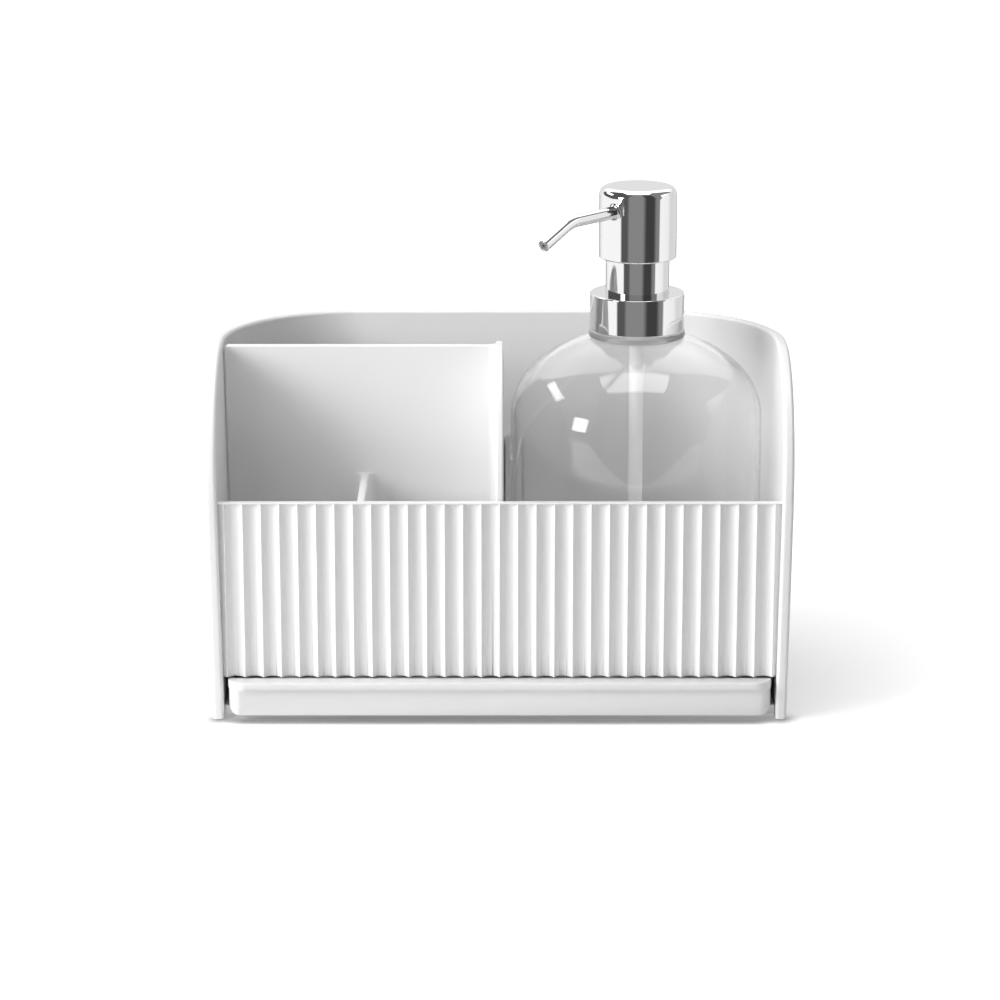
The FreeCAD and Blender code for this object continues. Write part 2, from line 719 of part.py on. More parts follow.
# The tall divider is rounded at its front, arch and step, the back wall along its top.
def isTallTopEdge(edge):
    points = samples(edge)
    wall = size["partitionWall"].value / 2
    front = (panelBack + size["fitGap"] + size["seatGap"]).value
    if all(near(abs(point.x), wall) for point in points):
        if isUpright(edge):
            return near(points[0].y, front)
        return min(point.z for point in points) > front and not all(
            near(point.z, lowTop.value) for point in points)
    flat = all(near(point.z, partitionTop.value) for point in points)
    return flat and edge.Length > lowDividerPlace.value


# Base plate with the seats of its four feet.
def makePlate():
    body = newBody("base_plate")
    plateSketch = newSketch(body, "plateOutline", "XY_Plane", size["plateBottom"])
    drawPlan(plateSketch, trayFrontBack + size["fitGap"], -size["plateFit"])
    extrude(body, "Pad", plateSketch, "plate", size["plateThick"])
    seatSketch = newSketch(body, "footSeats", "XY_Plane", size["plateBottom"])
    for across, along in footPlaces.values():
        drawCircle(seatSketch, across, along, size["footRadius"] + size["plateFit"])
    extrude(body, "Pocket", seatSketch, "seats", size["footSeat"], reverse=True)
    return body


footPlaces = {
    "foot_front_left": (size["footFrontSide"] - wrapInnerFoot, size["footFrontPlace"]),
    "foot_front_right": (wrapInnerFoot - size["footFrontSide"], size["footFrontPlace"]),
    "foot_rear_left": (size["footRearSide"] - wrapInnerFoot, backInnerFoot - size["footRearBack"]),
    "foot_rear_right": (wrapInnerFoot - size["footRearSide"], backInnerFoot - size["footRearBack"]),
}


def makeFoot(label):
    across, along = footPlaces[label]
    body = newBody(label, across, along)
    footSketch = newSketch(body, label + "Outline", "XZ_Plane")
    radius = size["footRadius"]
    edge = size["footBevel"]
    sole = -size["footProud"]
    drawOutline(footSketch, [
        (nothing, sole),
        (radius - edge, sole),
        (radius, sole + edge),
        (radius, size["plateBottom"] + size["footSeat"]),
        (nothing, size["plateBottom"] + size["footSeat"]),
    ])
    turn(body, "Revolution", footSketch, label + "Pad")
    return body


# Drip tray with its pull lip.
def makeTray():
    body = newBody("drip_tray")
    half = trayHalfWidth
    bottom = size["plateBottom"] + size["plateThick"] + size["fitGap"]
    grow = -size["traySideGap"]
    front = -size["trayFace"]
    back = trayFrontBack
    low = size["trayFrontBottom"]
    top = size["lipTop"]

    panSketch = newSketch(body, "panOutline", "XY_Plane", bottom)
    drawPlan(panSketch, back, grow)
    extrude(body, "Pad", panSketch, "pan", size["trayRim"] - bottom)

    frontSketch = newSketch(body, "frontOutline", "XY_Plane", low)
    drawTrayFront(frontSketch, half, front, back)
    extrude(body, "Pad", frontSketch, "frontWall", top - low)

    lipSketch = newSketch(body, "lipOutline", "XY_Plane", top - size["lipThick"])
    drawTrayFront(lipSketch, half + size["lipSide"], front - size["lipReach"], back)
    extrude(body, "Pad", lipSketch, "pullLip", size["lipThick"])

    cornerSketch = newSketch(body, "bottomCorners", "XZ_Plane", -back)
    corner = size["trayCorner"]
    over = size["cutOverrun"]
    drawOutline(cornerSketch, [
        (half - corner, low, corner),
        (half, low + corner),
        (half + over, low + corner),
        (half + over, low - over),
        (half - corner, low - over),
    ])
    drawOutline(cornerSketch, [
        (corner - half, low - over),
        (-half - over, low - over),
        (-half - over, low + corner),
        (-half, low + corner, corner),
        (corner - half, low),
    ])
    extrude(body, "Pocket", cornerSketch, "roundBottom", size["trayFrontWall"] + over, reverse=True)

    hollowSketch = newSketch(body, "hollowOutline", "XY_Plane", bottom + size["trayWall"])
    drawPlan(hollowSketch, back, grow - size["trayWall"])
    extrude(body, "Pocket", hollowSketch, "hollow", size["lipTop"], reverse=True)
    roundEdges(body, "lipRounds", size["lipRound"], isLipEdge)
    return body


# Plan of the tray's front, with corners that end at the back of its front wall.
def drawTrayFront(sketch, half, front, back):
    radius = back - front
    drawOutline(sketch, [
        (-half, back, radius),
        (radius - half, front),
        (half - radius, front, radius),
        (half, back),
    ])


def isLipEdge(edge):
    points = samples(edge)
    level = all(near(point.z, size["lipTop"].value) for point in points)
    return level and min(point.y for point in points) < -size["trayFace"].value


# Bottle: one clear blown piece.
def makeBottle():
    body = newBody("bottle", bottlePlaceX, bottlePlaceY)
    outline = newSketch(body, "bottleOutline", "XZ_Plane")
    foot = floorTop + size["fitGap"]
    radius = size["bottleRadius"]
    wall = size["bottleWall"]
    heel = size["bottleHeel"]
    shift = size["domeShift"]
    dome = radius - shift
    innerDome = dome - wall
    beadFoot = beadTop - size["neckBeadThick"]
    bevel = size["neckBeadBevel"]
    bead = size["collarRadius"] + size["beadReach"]
    meet = bead - size["beadLedge"]
    base = beadFoot - root(dome * dome - (meet - shift) * (meet - shift))
    boreFoot = base + root(innerDome * innerDome - (neckBore - shift) * (neckBore - shift))
    innerHeel = heel - wall
    stand = radius - size["bottleStandWidth"]
    push = size["bottlePush"]
    floorLevel = foot + size["bottleFloor"]
    drawOutline(outline, [
        (nothing, foot + push),
        (stand - push * 2, foot + push),
        (stand, foot),
        (radius - heel, foot, heel),
        (radius, foot + heel),
        (radius, base, dome),
        (meet, beadFoot),
        (bead - bevel, beadFoot),
        (bead, beadFoot + bevel),
        (bead, beadTop - bevel),
        (bead - bevel, beadTop),
        (neckRadius, beadTop),
        (neckRadius, neckTop),
        (neckBore, neckTop),
        (neckBore, boreFoot, -innerDome),
        (radius - wall, base),
        (radius - wall, floorLevel + innerHeel),
        (radius - wall - innerHeel, floorLevel),
        (nothing, floorLevel + push),
    ])
    turn(body, "Revolution", outline, "bottleForm")
    return body


def pumpBody(label):
    return newBody(label, bottlePlaceX, bottlePlaceY)


def turnedPiece(label, points):
    body = pumpBody(label)
    outline = newSketch(body, label + "Outline", "XZ_Plane")
    drawOutline(outline, points)
    turn(body, "Revolution", outline, label + "Form")
    return body


# Collar: a thin chrome cover over the screw cap.
def makeCollar():
    radius = size["collarRadius"]
    wall = size["collarWall"]
    edge = size["collarBevel"]
    hole = sleeveRadius + size["seatGap"]
    return turnedPiece("collar_shell", [
        (radius - wall, collarFoot),
        (radius - edge, collarFoot),
        (radius, collarFoot + edge),
        (radius, collarTop - edge),
        (radius - edge, collarTop),
        (hole, collarTop),
        (hole, collarTop - wall),
        (radius - wall, collarTop - wall),
    ])


# Screw cap: the plastic closure, with a ring that holds the sleeve.
def makeClosure():
    ringOuter = sleeveRadius - size["sleeveWall"] - size["seatGap"]
    ringInner = ringOuter - size["closureRingWall"]
    return turnedPiece("closure_cap", [
        (closureBore, collarFoot + size["seatGap"]),
        (closureOuter, collarFoot + size["seatGap"]),
        (closureOuter, closureTop),
        (ringOuter, closureTop),
        (ringOuter, closureTop + size["closureRingHeight"]),
        (ringInner, closureTop + size["closureRingHeight"]),
        (ringInner, closureUnder),
        (closureBore, closureUnder),
    ])


def makeSleeve():
    wall = size["sleeveWall"]
    edge = wall / 2
    foot = closureTop + size["seatGap"]
    return turnedPiece("sleeve", [
        (sleeveRadius - wall, foot),
        (sleeveRadius, foot),
        (sleeveRadius, sleeveTop - edge),
        (sleeveRadius - edge, sleeveTop),
        (sleeveRadius - wall, sleeveTop),
    ])


def makeGasket():
    inner = size["chamberBore"] + size["chamberWall"] + size["seatGap"]
    return turnedPiece("neck_gasket", [
        (inner, gasketFoot),
        (flangeRadius, gasketFoot),
        (flangeRadius, flangeFoot),
        (inner, flangeFoot),
    ])


# Pump housing: flange, chamber, ball cage and the nipple that carries the dip tube.
def makeHousing():
    bore = size["chamberBore"]
    outer = bore + size["chamberWall"]
    bottom = housingBottom
    seat = bottom + size["chamberFloor"]
    cage = size["inletBallRadius"] + size["cageGap"]
    cageOuter = cage + size["cageWall"]
    cageTop = seat + size["cageHeight"]
    return turnedPiece("pump_housing", [
        (size["nippleBore"], bottom - size["nippleLength"]),
        (size["nippleRadius"], bottom - size["nippleLength"]),
        (size["nippleRadius"], bottom),
        (outer, bottom),
        (outer, flangeFoot),
        (flangeRadius, flangeFoot),
        (flangeRadius, flangeTop),
        (outer, flangeTop),
        (outer, housingTop),
        (bore, housingTop),
        (bore, seat),
        (cageOuter, seat),
        (cageOuter, cageTop),
        (cage, cageTop),
        (cage, seat),
        (size["seatBore"], seat),
        (size["nippleBore"], bottom),
    ])


def makeLock():
    inner = size["chamberBore"] + size["chamberWall"] + size["seatGap"]
    outer = inner + size["lockWall"]
    underside = housingTop + size["seatGap"]
    hole = size["stemRadius"] + size["fitGap"]
    return turnedPiece("chamber_lock", [
        (inner, underside - size["lockSkirt"]),
        (outer, underside - size["lockSkirt"]),
        (outer, underside + size["lockThick"]),
        (hole, underside + size["lockThick"]),
        (hole, underside),
        (inner, underside),
    ])


# Balls are half discs turned about their own axis. A ball rests on the rim of its seat hole.
def makeBall(label, radius, hole, seat):
    body = pumpBody(label)
    outline = newSketch(body, label + "Outline", "XZ_Plane")
    middle = seat + root(radius * radius - hole * hole) + size["runGap"]
    drawOutline(outline, [
        (nothing, middle - radius, radius),
        (radius, middle, radius),
        (nothing, middle + radius),
    ])
    turn(body, "Revolution", outline, label + "Form")
    return body


def makeDipTube():
    body = pumpBody("dip_tube")
    outline = newSketch(body, "tubeOutline", "XZ_Plane")
    outer = size["tubeRadius"]
    top = housingBottom - size["seatGap"]
    drawRectangle(outline, size["nippleRadius"] + size["runGap"], outer, size["tubeFoot"], top)
    turn(body, "Revolution", outline, "tubeForm")
    bevelSketch = newSketch(body, "bevelOutline", "XZ_Plane")
    reach = outer * 2
    over = size["cutOverrun"]
    drawOutline(bevelSketch, [
        (-outer, size["tubeFoot"]),
        (-outer, size["tubeFoot"] - over),
        (reach, size["tubeFoot"] - over),
        (reach, size["tubeFoot"] + size["tubeBevel"] * 3 / 2),
    ])
    extrude(body, "Pocket", bevelSketch, "footBevel", reach * 2, symmetric=True)
    return body


# Return spring between the chamber's floor and the piston.
def makeSpring():
    body = pumpBody("return_spring")
    wireRadius = size["springWire"] / 2
    gap = size["runGap"] * 2
    low = housingBottom + size["chamberFloor"] + gap + wireRadius
    high = sealFoot - gap - wireRadius
    wireSketch = newSketch(body, "wireOutline", "XZ_Plane")
    side = math.radians(4 * quarterTurn / wireSides)
    drawOutline(wireSketch, [
        (size["springRadius"] + wireRadius * math.cos(side * number),
         low + wireRadius * math.sin(side * number))
        for number in range(wireSides)
    ])
    coil = body.newObject("PartDesign::AdditiveHelix", "coil")
    coil.Profile = wireSketch
    coil.ReferenceAxis = (wireSketch, ["V_Axis"])
    coil.Mode = "height-turns-angle"
    coil.Height = (high - low).value
    coil.setExpression("Height", (high - low).text)
    coil.Turns = size["springTurns"].value
    coil.setExpression("Turns", size["springTurns"].text)
    doc.recompute()
    return body


# Stem: the hollow plunger rod, with the outlet valve's seat near its top.
def makeStem():
    radius = size["stemRadius"]
    bore = size["stemBore"]
    pocket = size["outletBallRadius"] + size["cageGap"]
    return turnedPiece("stem", [
        (bore, sealFoot),
        (radius, sealFoot),
        (radius, stemTop),
        (pocket, stemTop),
        (pocket, outletSeat),
        (bore, outletSeat),
    ])


def makeSeal():
    inner = size["stemRadius"] + size["seatGap"]
    outer = size["chamberBore"] - size["runGap"]
    lip = size["sealWall"]
    depth = size["sealLip"]
    top = sealFoot + size["sealHeight"]
    return turnedPiece("piston_seal", [
        (inner, sealFoot),
        (inner + lip, sealFoot),
        (inner + lip, sealFoot + depth),
        (outer - lip, sealFoot + depth),
        (outer - lip, sealFoot),
        (outer, sealFoot),
        (outer, top),
        (inner, top),
    ])


# The spout points along the local X axis of the head's pieces.
headingTurn = FreeCAD.Rotation(FreeCAD.Vector(0, 0, 1), size["spoutHeadingAngle"].value)


def headPiece(label):
    return newBody(label, bottlePlaceX, bottlePlaceY, nothing, headingTurn)


# Head: a chrome cap that slides over the sleeve, with a flared stub for the spout.
def makeHead():
    body = headPiece("head_cap")
    radius = size["headRadius"]
    bottom = headBottom
    top = size["headTop"]
    crown = size["headRound"]
    foot = size["headFootBevel"]
    outline = newSketch(body, "headOutline", "XZ_Plane")
    drawOutline(outline, [
        (nothing, bottom),
        (radius - foot, bottom),
        (radius, bottom + foot),
        (radius, top - crown, crown),
        (radius - crown, top),
        (nothing, top),
    ])
    turn(body, "Revolution", outline, "headForm")
    stubSketch = newSketch(body, "stubOutline", "YZ_Plane")
    drawCircle(stubSketch, nothing, spoutLevel, size["spoutRadius"])
    extrude(body, "Pad", stubSketch, "stub", spoutStub)
    roundEdges(body, "stubFlare", size["spoutFlare"], isStubRoot)
    inner = radius - size["headWall"]
    hollowSketch = newSketch(body, "headHollow", "XZ_Plane")
    innerCrown = crown - size["headWall"]
    ceiling = top - size["headRoof"]
    drawOutline(hollowSketch, [
        (nothing, bottom - size["cutOverrun"]),
        (inner, bottom - size["cutOverrun"]),
        (inner, ceiling - innerCrown, innerCrown),
        (inner - innerCrown, ceiling),
        (nothing, ceiling),
    ])
    turn(body, "Groove", hollowSketch, "headInside")
    boreSketch = newSketch(body, "stubBore", "YZ_Plane")
    drawCircle(boreSketch, nothing, spoutLevel, size["spoutSpigot"] + size["seatGap"])
    extrude(body, "Pocket", boreSketch, "spoutHole",
            spoutStub + size["cutOverrun"], reverse=True)
    return body


def isStubRoot(edge):
    points = samples(edge)
    ring = all(near(math.hypot(point.y, point.z - spoutLevel.value),
                    size["spoutRadius"].value) for point in points)
    onHead = all(near(math.hypot(point.x, point.y), size["headRadius"].value) for point in points)
    return ring and onHead


# Core of the head: stem socket, soap channel and the disc under the head's top.
def makeCore():
    body = headPiece("head_core")
    boss = size["coreBoss"]
    ceiling = size["headTop"] - size["headRoof"]
    discRadius = size["headRadius"] - size["headRound"]
    discTop = ceiling - size["seatGap"]
    discFoot = discTop - size["coreDisc"]
    lockTop = housingTop + size["seatGap"] + size["lockThick"]
    foot = lockTop + size["pumpStroke"] + size["fitGap"] * 2
    socket = size["stemRadius"] + size["runGap"]
    socketTop = stemTop + size["runGap"]
    channel = size["coreChannel"]
    level = spoutLevel
    outline = newSketch(body, "coreOutline", "XZ_Plane")
    drawOutline(outline, [
        (nothing, foot),
        (boss, foot),
        (boss, discFoot),
        (discRadius, discFoot),
        (discRadius, discTop),
        (nothing, discTop),
    ])
    turn(body, "Revolution", outline, "coreForm")
    armEnd = size["headRadius"] - size["headWall"] - size["coreFit"] * 2
    armSketch = newSketch(body, "armOutline", "YZ_Plane")
    drawCircle(armSketch, nothing, level, size["coreArm"])
    extrude(body, "Pad", armSketch, "arm", armEnd)
    socketSketch = newSketch(body, "socketOutline", "XZ_Plane")
    drawOutline(socketSketch, [
        (nothing, foot - size["cutOverrun"]),
        (socket, foot - size["cutOverrun"]),
        (socket, socketTop),
        (channel, socketTop),
        (channel, level),
        (nothing, level),
    ])
    turn(body, "Groove", socketSketch, "socket")
    channelSketch = newSketch(body, "channelOutline", "YZ_Plane")
    drawCircle(channelSketch, nothing, level, channel)
    extrude(body, "Pocket", channelSketch, "channel", size["headRadius"], reverse=True)
    spigotFoot = spoutStub - size["spoutSpigotDepth"] - size["seatGap"]
    counterSketch = newSketch(body, "counterOutline", "YZ_Plane", spigotFoot)
    drawCircle(counterSketch, nothing, level, size["spoutSpigot"] + size["seatGap"])
    extrude(body, "Pocket", counterSketch, "spigotSeat", size["headRadius"], reverse=True)
    return body


# Spout: a drawn tube with one bend and a thinner spigot inside the head.
def makeSpout():
    body = headPiece("spout_tube")
    level = spoutLevel
    start = spoutStub + size["seatGap"]
    drop = size["spoutDropAngle"]
    halfAngle = drop / 2
    lead = size["spoutBend"] * sine(halfAngle) / cosine(halfAngle)
    bendIn = size["spoutKnee"] - lead
    bendOutX = size["spoutKnee"] + lead * cosine(drop)
    bendOutZ = level - lead * sine(drop)
    tipX = size["spoutKnee"] + size["spoutEnd"] * cosine(drop)
    tipZ = level - size["spoutEnd"] * sine(drop)
    pathSketch = newSketch(body, "spoutPath", "XZ_Plane")
    line = pathSketch.addGeometry(Part.LineSegment(
        FreeCAD.Vector(start.value, level.value, 0),
        FreeCAD.Vector(bendIn.value, level.value, 0)), False)
    centre = FreeCAD.Vector(bendIn.value, (level - size["spoutBend"]).value, 0)
    circle = Part.Circle(centre, FreeCAD.Vector(0, 0, 1), size["spoutBend"].value)
    dropTurn = math.radians(drop.value)
    bend = pathSketch.addGeometry(
        Part.ArcOfCircle(circle, math.pi / 2 - dropTurn, math.pi / 2), False)
    tail = pathSketch.addGeometry(Part.LineSegment(
        FreeCAD.Vector(bendOutX.value, bendOutZ.value, 0),
        FreeCAD.Vector(tipX.value, tipZ.value, 0)), False)
    pinPoint(pathSketch, line, 1, start, level)
    pinPoint(pathSketch, line, 2, bendIn, level)
    pathSketch.addConstraint(Sketcher.Constraint("Coincident", line, 2, bend, 2))
    constraint = pathSketch.addConstraint(
        Sketcher.Constraint("Radius", bend, size["spoutBend"].value))
    pathSketch.setExpression("Constraints[%d]" % constraint, size["spoutBend"].text)
    pathSketch.addConstraint(Sketcher.Constraint("Coincident", bend, 1, tail, 1))
    pinPoint(pathSketch, tail, 1, bendOutX, bendOutZ)
    pinPoint(pathSketch, tail, 2, tipX, tipZ)
    ringSketch = newSketch(body, "spoutRing", "YZ_Plane", start)
    drawCircle(ringSketch, nothing, level, size["spoutRadius"])
    drawCircle(ringSketch, nothing, level, size["spoutBore"])
    tube = body.newObject("PartDesign::AdditivePipe", "tube")
    tube.Profile = ringSketch
    tube.Spine = pathSketch
    doc.recompute()
    spigotSketch = newSketch(body, "spigotRing", "YZ_Plane", start)
    drawCircle(spigotSketch, nothing, level, size["spoutSpigot"])
    drawCircle(spigotSketch, nothing, level, size["spoutBore"])
    extrude(body, "Pad", spigotSketch, "spigot", size["spoutSpigotDepth"], reverse=True)
    return body


def makeNozzle():
    drop = size["spoutDropAngle"]
    heading = size["spoutHeadingAngle"]
    reach = size["spoutKnee"] + (size["spoutEnd"] - size["nozzleSink"]) * cosine(drop)
    height = spoutLevel - (size["spoutEnd"] - size["nozzleSink"]) * sine(drop)
    tilt = FreeCAD.Rotation(FreeCAD.Vector(0, 1, 0), quarterTurn + drop.value)
    body = newBody("spout_nozzle",
                   bottlePlaceX + reach * cosine(heading),
                   bottlePlaceY + reach * sine(heading),
                   height, headingTurn.multiply(tilt))
    outline = newSketch(body, "nozzleOutline", "XZ_Plane")
    outer = size["spoutBore"] - size["seatGap"]
    drawRectangle(outline, size["nozzleBore"], outer, -size["nozzleLength"], nothing)
    turn(body, "Revolution", outline, "nozzleForm")
    return body


pieces = [
    makeShell(),
    makePartition(),
    makePlate(),
    makeTray(),
    makeBottle(),
    makeCollar(),
    makeClosure(),
    makeSleeve(),
    makeGasket(),
    makeHousing(),
    makeLock(),
    makeBall("inlet_ball", size["inletBallRadius"], size["seatBore"],
             housingBottom + size["chamberFloor"]),
    makeDipTube(),
    makeSpring(),
    makeStem(),
    makeSeal(),
    makeBall("outlet_ball", size["outletBallRadius"], size["stemBore"], outletSeat),
    makeHead(),
    makeCore(),
    makeSpout(),
    makeNozzle(),
]
pieces += [makeFoot(label) for label in footPlaces]

# Every object has to be sound before anything is written.
doc.recompute()
for item in doc.Objects:
    if "Invalid" in item.State or "Error" in item.State:
        raise RuntimeError("%s is in state %s" % (item.Name, item.State))
for piece in pieces:
    if piece.Shape.isNull() or not piece.Shape.isValid() or not piece.Shape.Solids:
        raise RuntimeError("%s has no sound solid" % piece.Label)

os.makedirs("parts", exist_ok=True)
for piece in pieces:
    piece.Shape.exportStep("parts/%s.step" % piece.Label)
    print("%-18s solids %d  volume %9.1f" % (piece.Label, len(piece.Shape.Solids), piece.Shape.Volume))
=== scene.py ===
import math
import bmesh
import bpy
from mathutils import Matrix, Vector


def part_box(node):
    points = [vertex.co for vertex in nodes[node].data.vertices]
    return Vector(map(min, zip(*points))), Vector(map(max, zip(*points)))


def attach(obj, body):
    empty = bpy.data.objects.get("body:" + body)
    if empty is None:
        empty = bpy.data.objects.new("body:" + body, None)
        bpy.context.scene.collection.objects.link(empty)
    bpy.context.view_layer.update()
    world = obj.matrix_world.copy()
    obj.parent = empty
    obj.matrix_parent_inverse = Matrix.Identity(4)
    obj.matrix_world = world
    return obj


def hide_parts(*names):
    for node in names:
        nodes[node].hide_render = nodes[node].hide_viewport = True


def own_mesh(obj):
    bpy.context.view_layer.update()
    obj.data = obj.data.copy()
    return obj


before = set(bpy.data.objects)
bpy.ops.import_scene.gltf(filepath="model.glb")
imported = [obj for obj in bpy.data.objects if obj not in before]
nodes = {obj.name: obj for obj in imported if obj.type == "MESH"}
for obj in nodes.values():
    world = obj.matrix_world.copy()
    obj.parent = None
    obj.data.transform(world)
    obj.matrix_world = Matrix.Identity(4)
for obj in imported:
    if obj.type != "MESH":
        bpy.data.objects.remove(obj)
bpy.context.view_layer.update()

mm = 0.001
middleY = 0.052201  # the wrap's front edges are this far before the origin
insideBox = 0.005  # a dressed piece keeps this many millimetres inside its solid
seatGap = 0.03  # between pieces pressed together


def linear(hexText):  # sRGB hex to linear colour
    parts = [int(hexText[i:i + 2], 16) / 255 for i in (0, 2, 4)]
    parts = [c / 12.92 if c <= 0.04045 else ((c + 0.055) / 1.055) ** 2.4 for c in parts]
    return tuple(parts) + (1.0,)


def addNode(tree, kind, inputs=None, **settings):  # a node or a socket as a value makes a link
    node = tree.nodes.new("ShaderNode" + kind)
    for name, value in settings.items():
        setattr(node, name, value)
    for name, value in (inputs or {}).items():
        socket = node.inputs[name]
        if isinstance(value, bpy.types.Node):
            value = value.outputs[0]
        if isinstance(value, bpy.types.NodeSocket):
            tree.links.new(value, socket)
        else:
            socket.default_value = value
    return node


def newMaterial(name):
    material = bpy.data.materials.new(name)
    material.use_nodes = True
    material.node_tree.nodes.clear()
    return material, material.node_tree


# In the materials, a Mix node's colours are its inputs 6 and 7 and its output 2.

whiteMoulding = {
    "colour": "f1f1f1", "shade": "ececec",
    "roughness": 0.36, "roughnessEnd": 0.46,
    "flowSize": 60.0, "grainSize": 0.35, "grainHeight": 0.0012, "waveHeight": 0.02,
}


def satinPlastic(name, look):
    # Injection-moulded polystyrene from a vapour-blasted tool: white all through, a soft satin
    # gloss, a grain as fine as skin and slow sink waves where the wall cooled unevenly.
    material, tree = newMaterial(name)
    place = addNode(tree, "TexCoord").outputs["Object"]
    flow = addNode(tree, "TexNoise", {"Vector": place, "Scale": 1 / (look["flowSize"] * mm),
                                      "Detail": 2.0, "Roughness": 0.5})
    grain = addNode(tree, "TexNoise", {"Vector": place, "Scale": 1 / (look["grainSize"] * mm),
                                       "Detail": 3.0, "Roughness": 0.6})
    tone = addNode(tree, "Mix", {"Factor": flow.outputs["Fac"], 6: linear(look["shade"]),
                                 7: linear(look["colour"])}, data_type="RGBA")
    satin = addNode(tree, "MapRange", {"Value": grain.outputs["Fac"], "From Min": 0.35,
                                       "From Max": 0.65, "To Min": look["roughness"],
                                       "To Max": look["roughnessEnd"]})
    wave = addNode(tree, "Bump", {"Height": flow.outputs["Fac"], "Strength": 0.3,
                                  "Distance": look["waveHeight"] * mm})
    skin = addNode(tree, "Bump", {"Height": grain.outputs["Fac"], "Strength": 0.5,
                                  "Distance": look["grainHeight"] * mm,
                                  "Normal": wave.outputs["Normal"]})
    plastic = addNode(tree, "BsdfPrincipled", {"Base Color": tone.outputs[2], "IOR": 1.49,
                                               "Roughness": satin.outputs["Result"],
                                               "Normal": skin.outputs["Normal"]})
    addNode(tree, "OutputMaterial", {"Surface": plastic})
    return material


chromePlate = {
    "colour": "dedede", "roughness": 0.03, "roughnessEnd": 0.055,
    "waveSize": 9.0, "waveHeight": 0.004, "hazeSize": 1.2,
}


def platedChrome(name, look):
    # Bright chrome over copper and nickel on moulded ABS: a mirror, with the faint orange-peel
    # waves of the plastic under it and a trace of haze from wiping.
    material, tree = newMaterial(name)
    place = addNode(tree, "TexCoord").outputs["Object"]
    wave = addNode(tree, "TexNoise", {"Vector": place, "Scale": 1 / (look["waveSize"] * mm),
                                      "Detail": 1.0})
    haze = addNode(tree, "TexNoise", {"Vector": place, "Scale": 1 / (look["hazeSize"] * mm),
                                      "Detail": 4.0, "Roughness": 0.65})
    polish = addNode(tree, "MapRange", {"Value": haze.outputs["Fac"], "From Min": 0.4,
                                        "From Max": 0.7, "To Min": look["roughness"],
                                        "To Max": look["roughnessEnd"]})
    skin = addNode(tree, "Bump", {"Height": wave.outputs["Fac"], "Strength": 0.3,
                                  "Distance": look["waveHeight"] * mm})
    metal = addNode(tree, "BsdfPrincipled", {"Base Color": linear(look["colour"]), "Metallic": 1.0,
                                             "Roughness": polish.outputs["Result"],
                                             "Normal": skin.outputs["Normal"]})
    addNode(tree, "OutputMaterial", {"Surface": metal})
    return material


bottleForm = {
    "radius": 45.4, "wall": 2.0, "floor": 2.6, "heel": 6.0,
    "shoulder": 26.0, "shoulderTurn": 50.0, "crown": 50.0,
    "beadReach": 17.3, "beadThick": 2.5, "beadRound": 0.7, "beadLedge": 0.76,
    "neck": 13.3, "neckBore": 11.0, "neckHeight": 8.9, "rimRound": 0.35,
    "standWidth": 9.4, "standRound": 0.8, "push": 0.9, "turns": 192,
    "heelSteps": 16, "shoulderSteps": 28, "crownSteps": 24, "innerSteps": 24, "innerHeelSteps": 10,
    "beadSteps": 5, "edgeSteps": 3,
}


def levels(node):  # lowest and highest point of a node, in millimetres
    low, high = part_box(node)
    return low.z / mm, high.z / mm


clearWall = {
    "colour": "fefefe", "roughness": 0.004, "roughnessEnd": 0.012, "ior": 1.5,
    "waveSize": 16.0, "waveHeight": 0.009, "hazeSize": 16.0 / 6, "shadow": "f7f7f7",
    "frost": 0.45, "beadMargin": 0.05,
}


def clearPetg(name, look):
    # Blow-moulded PETG: water-clear, glossy on both sides, with the long shallow waves that the
    # stretched parison leaves in the wall.
    material, tree = newMaterial(name)
    place = addNode(tree, "TexCoord").outputs["Object"]
    wave = addNode(tree, "TexNoise", {"Vector": place, "Scale": 1 / (look["waveSize"] * mm),
                                      "Detail": 1.0})
    haze = addNode(tree, "TexNoise", {"Vector": place, "Scale": 1 / (look["hazeSize"] * mm),
                                      "Detail": 3.0})
    polish = addNode(tree, "MapRange", {"Value": haze.outputs["Fac"], "From Min": 0.45,
                                        "From Max": 0.75, "To Min": look["roughness"],
                                        "To Max": look["roughnessEnd"]})
    skin = addNode(tree, "Bump", {"Height": wave.outputs["Fac"], "Strength": 0.3,
                                  "Distance": look["waveHeight"] * mm})
    wall = addNode(tree, "BsdfPrincipled", {"Base Color": linear(look["colour"]),
                                            "Transmission Weight": 1.0, "IOR": look["ior"],
                                            "Roughness": polish.outputs["Result"],
                                            "Normal": skin.outputs["Normal"]})
    clear = addNode(tree, "BsdfTransparent", {"Color": linear(look["shadow"])})
    path = addNode(tree, "LightPath")
    spread = addNode(tree, "Math", {0: path.outputs["Is Shadow Ray"],
                                    1: path.outputs["Is Diffuse Ray"]}, operation="MAXIMUM")
    both = addNode(tree, "MixShader", {0: spread, 1: wall, 2: clear})
    # The bead under the closure is left rough by the mould's parting faces and takes in light.
    height = addNode(tree, "SeparateXYZ", {"Vector": place}).outputs["Z"]
    beadTop = levels("bottle")[1] - bottleForm["neckHeight"]
    beadFoot = beadTop - bottleForm["beadThick"]
    above = addNode(tree, "Math", {0: height, 1: (beadFoot - look["beadMargin"]) * mm},
                    operation="GREATER_THAN")
    below = addNode(tree, "Math", {0: height, 1: (beadTop + look["beadMargin"]) * mm},
                    operation="LESS_THAN")
    onBead = addNode(tree, "Math", {0: above, 1: below}, operation="MULTIPLY")
    frosted = addNode(tree, "Math", {0: onBead, 1: look["frost"]}, operation="MULTIPLY")
    frost = addNode(tree, "BsdfTranslucent", {"Color": (1, 1, 1, 1)})
    bead = addNode(tree, "MixShader", {0: frosted, 1: both, 2: frost})
    addNode(tree, "OutputMaterial", {"Surface": bead})
    return material


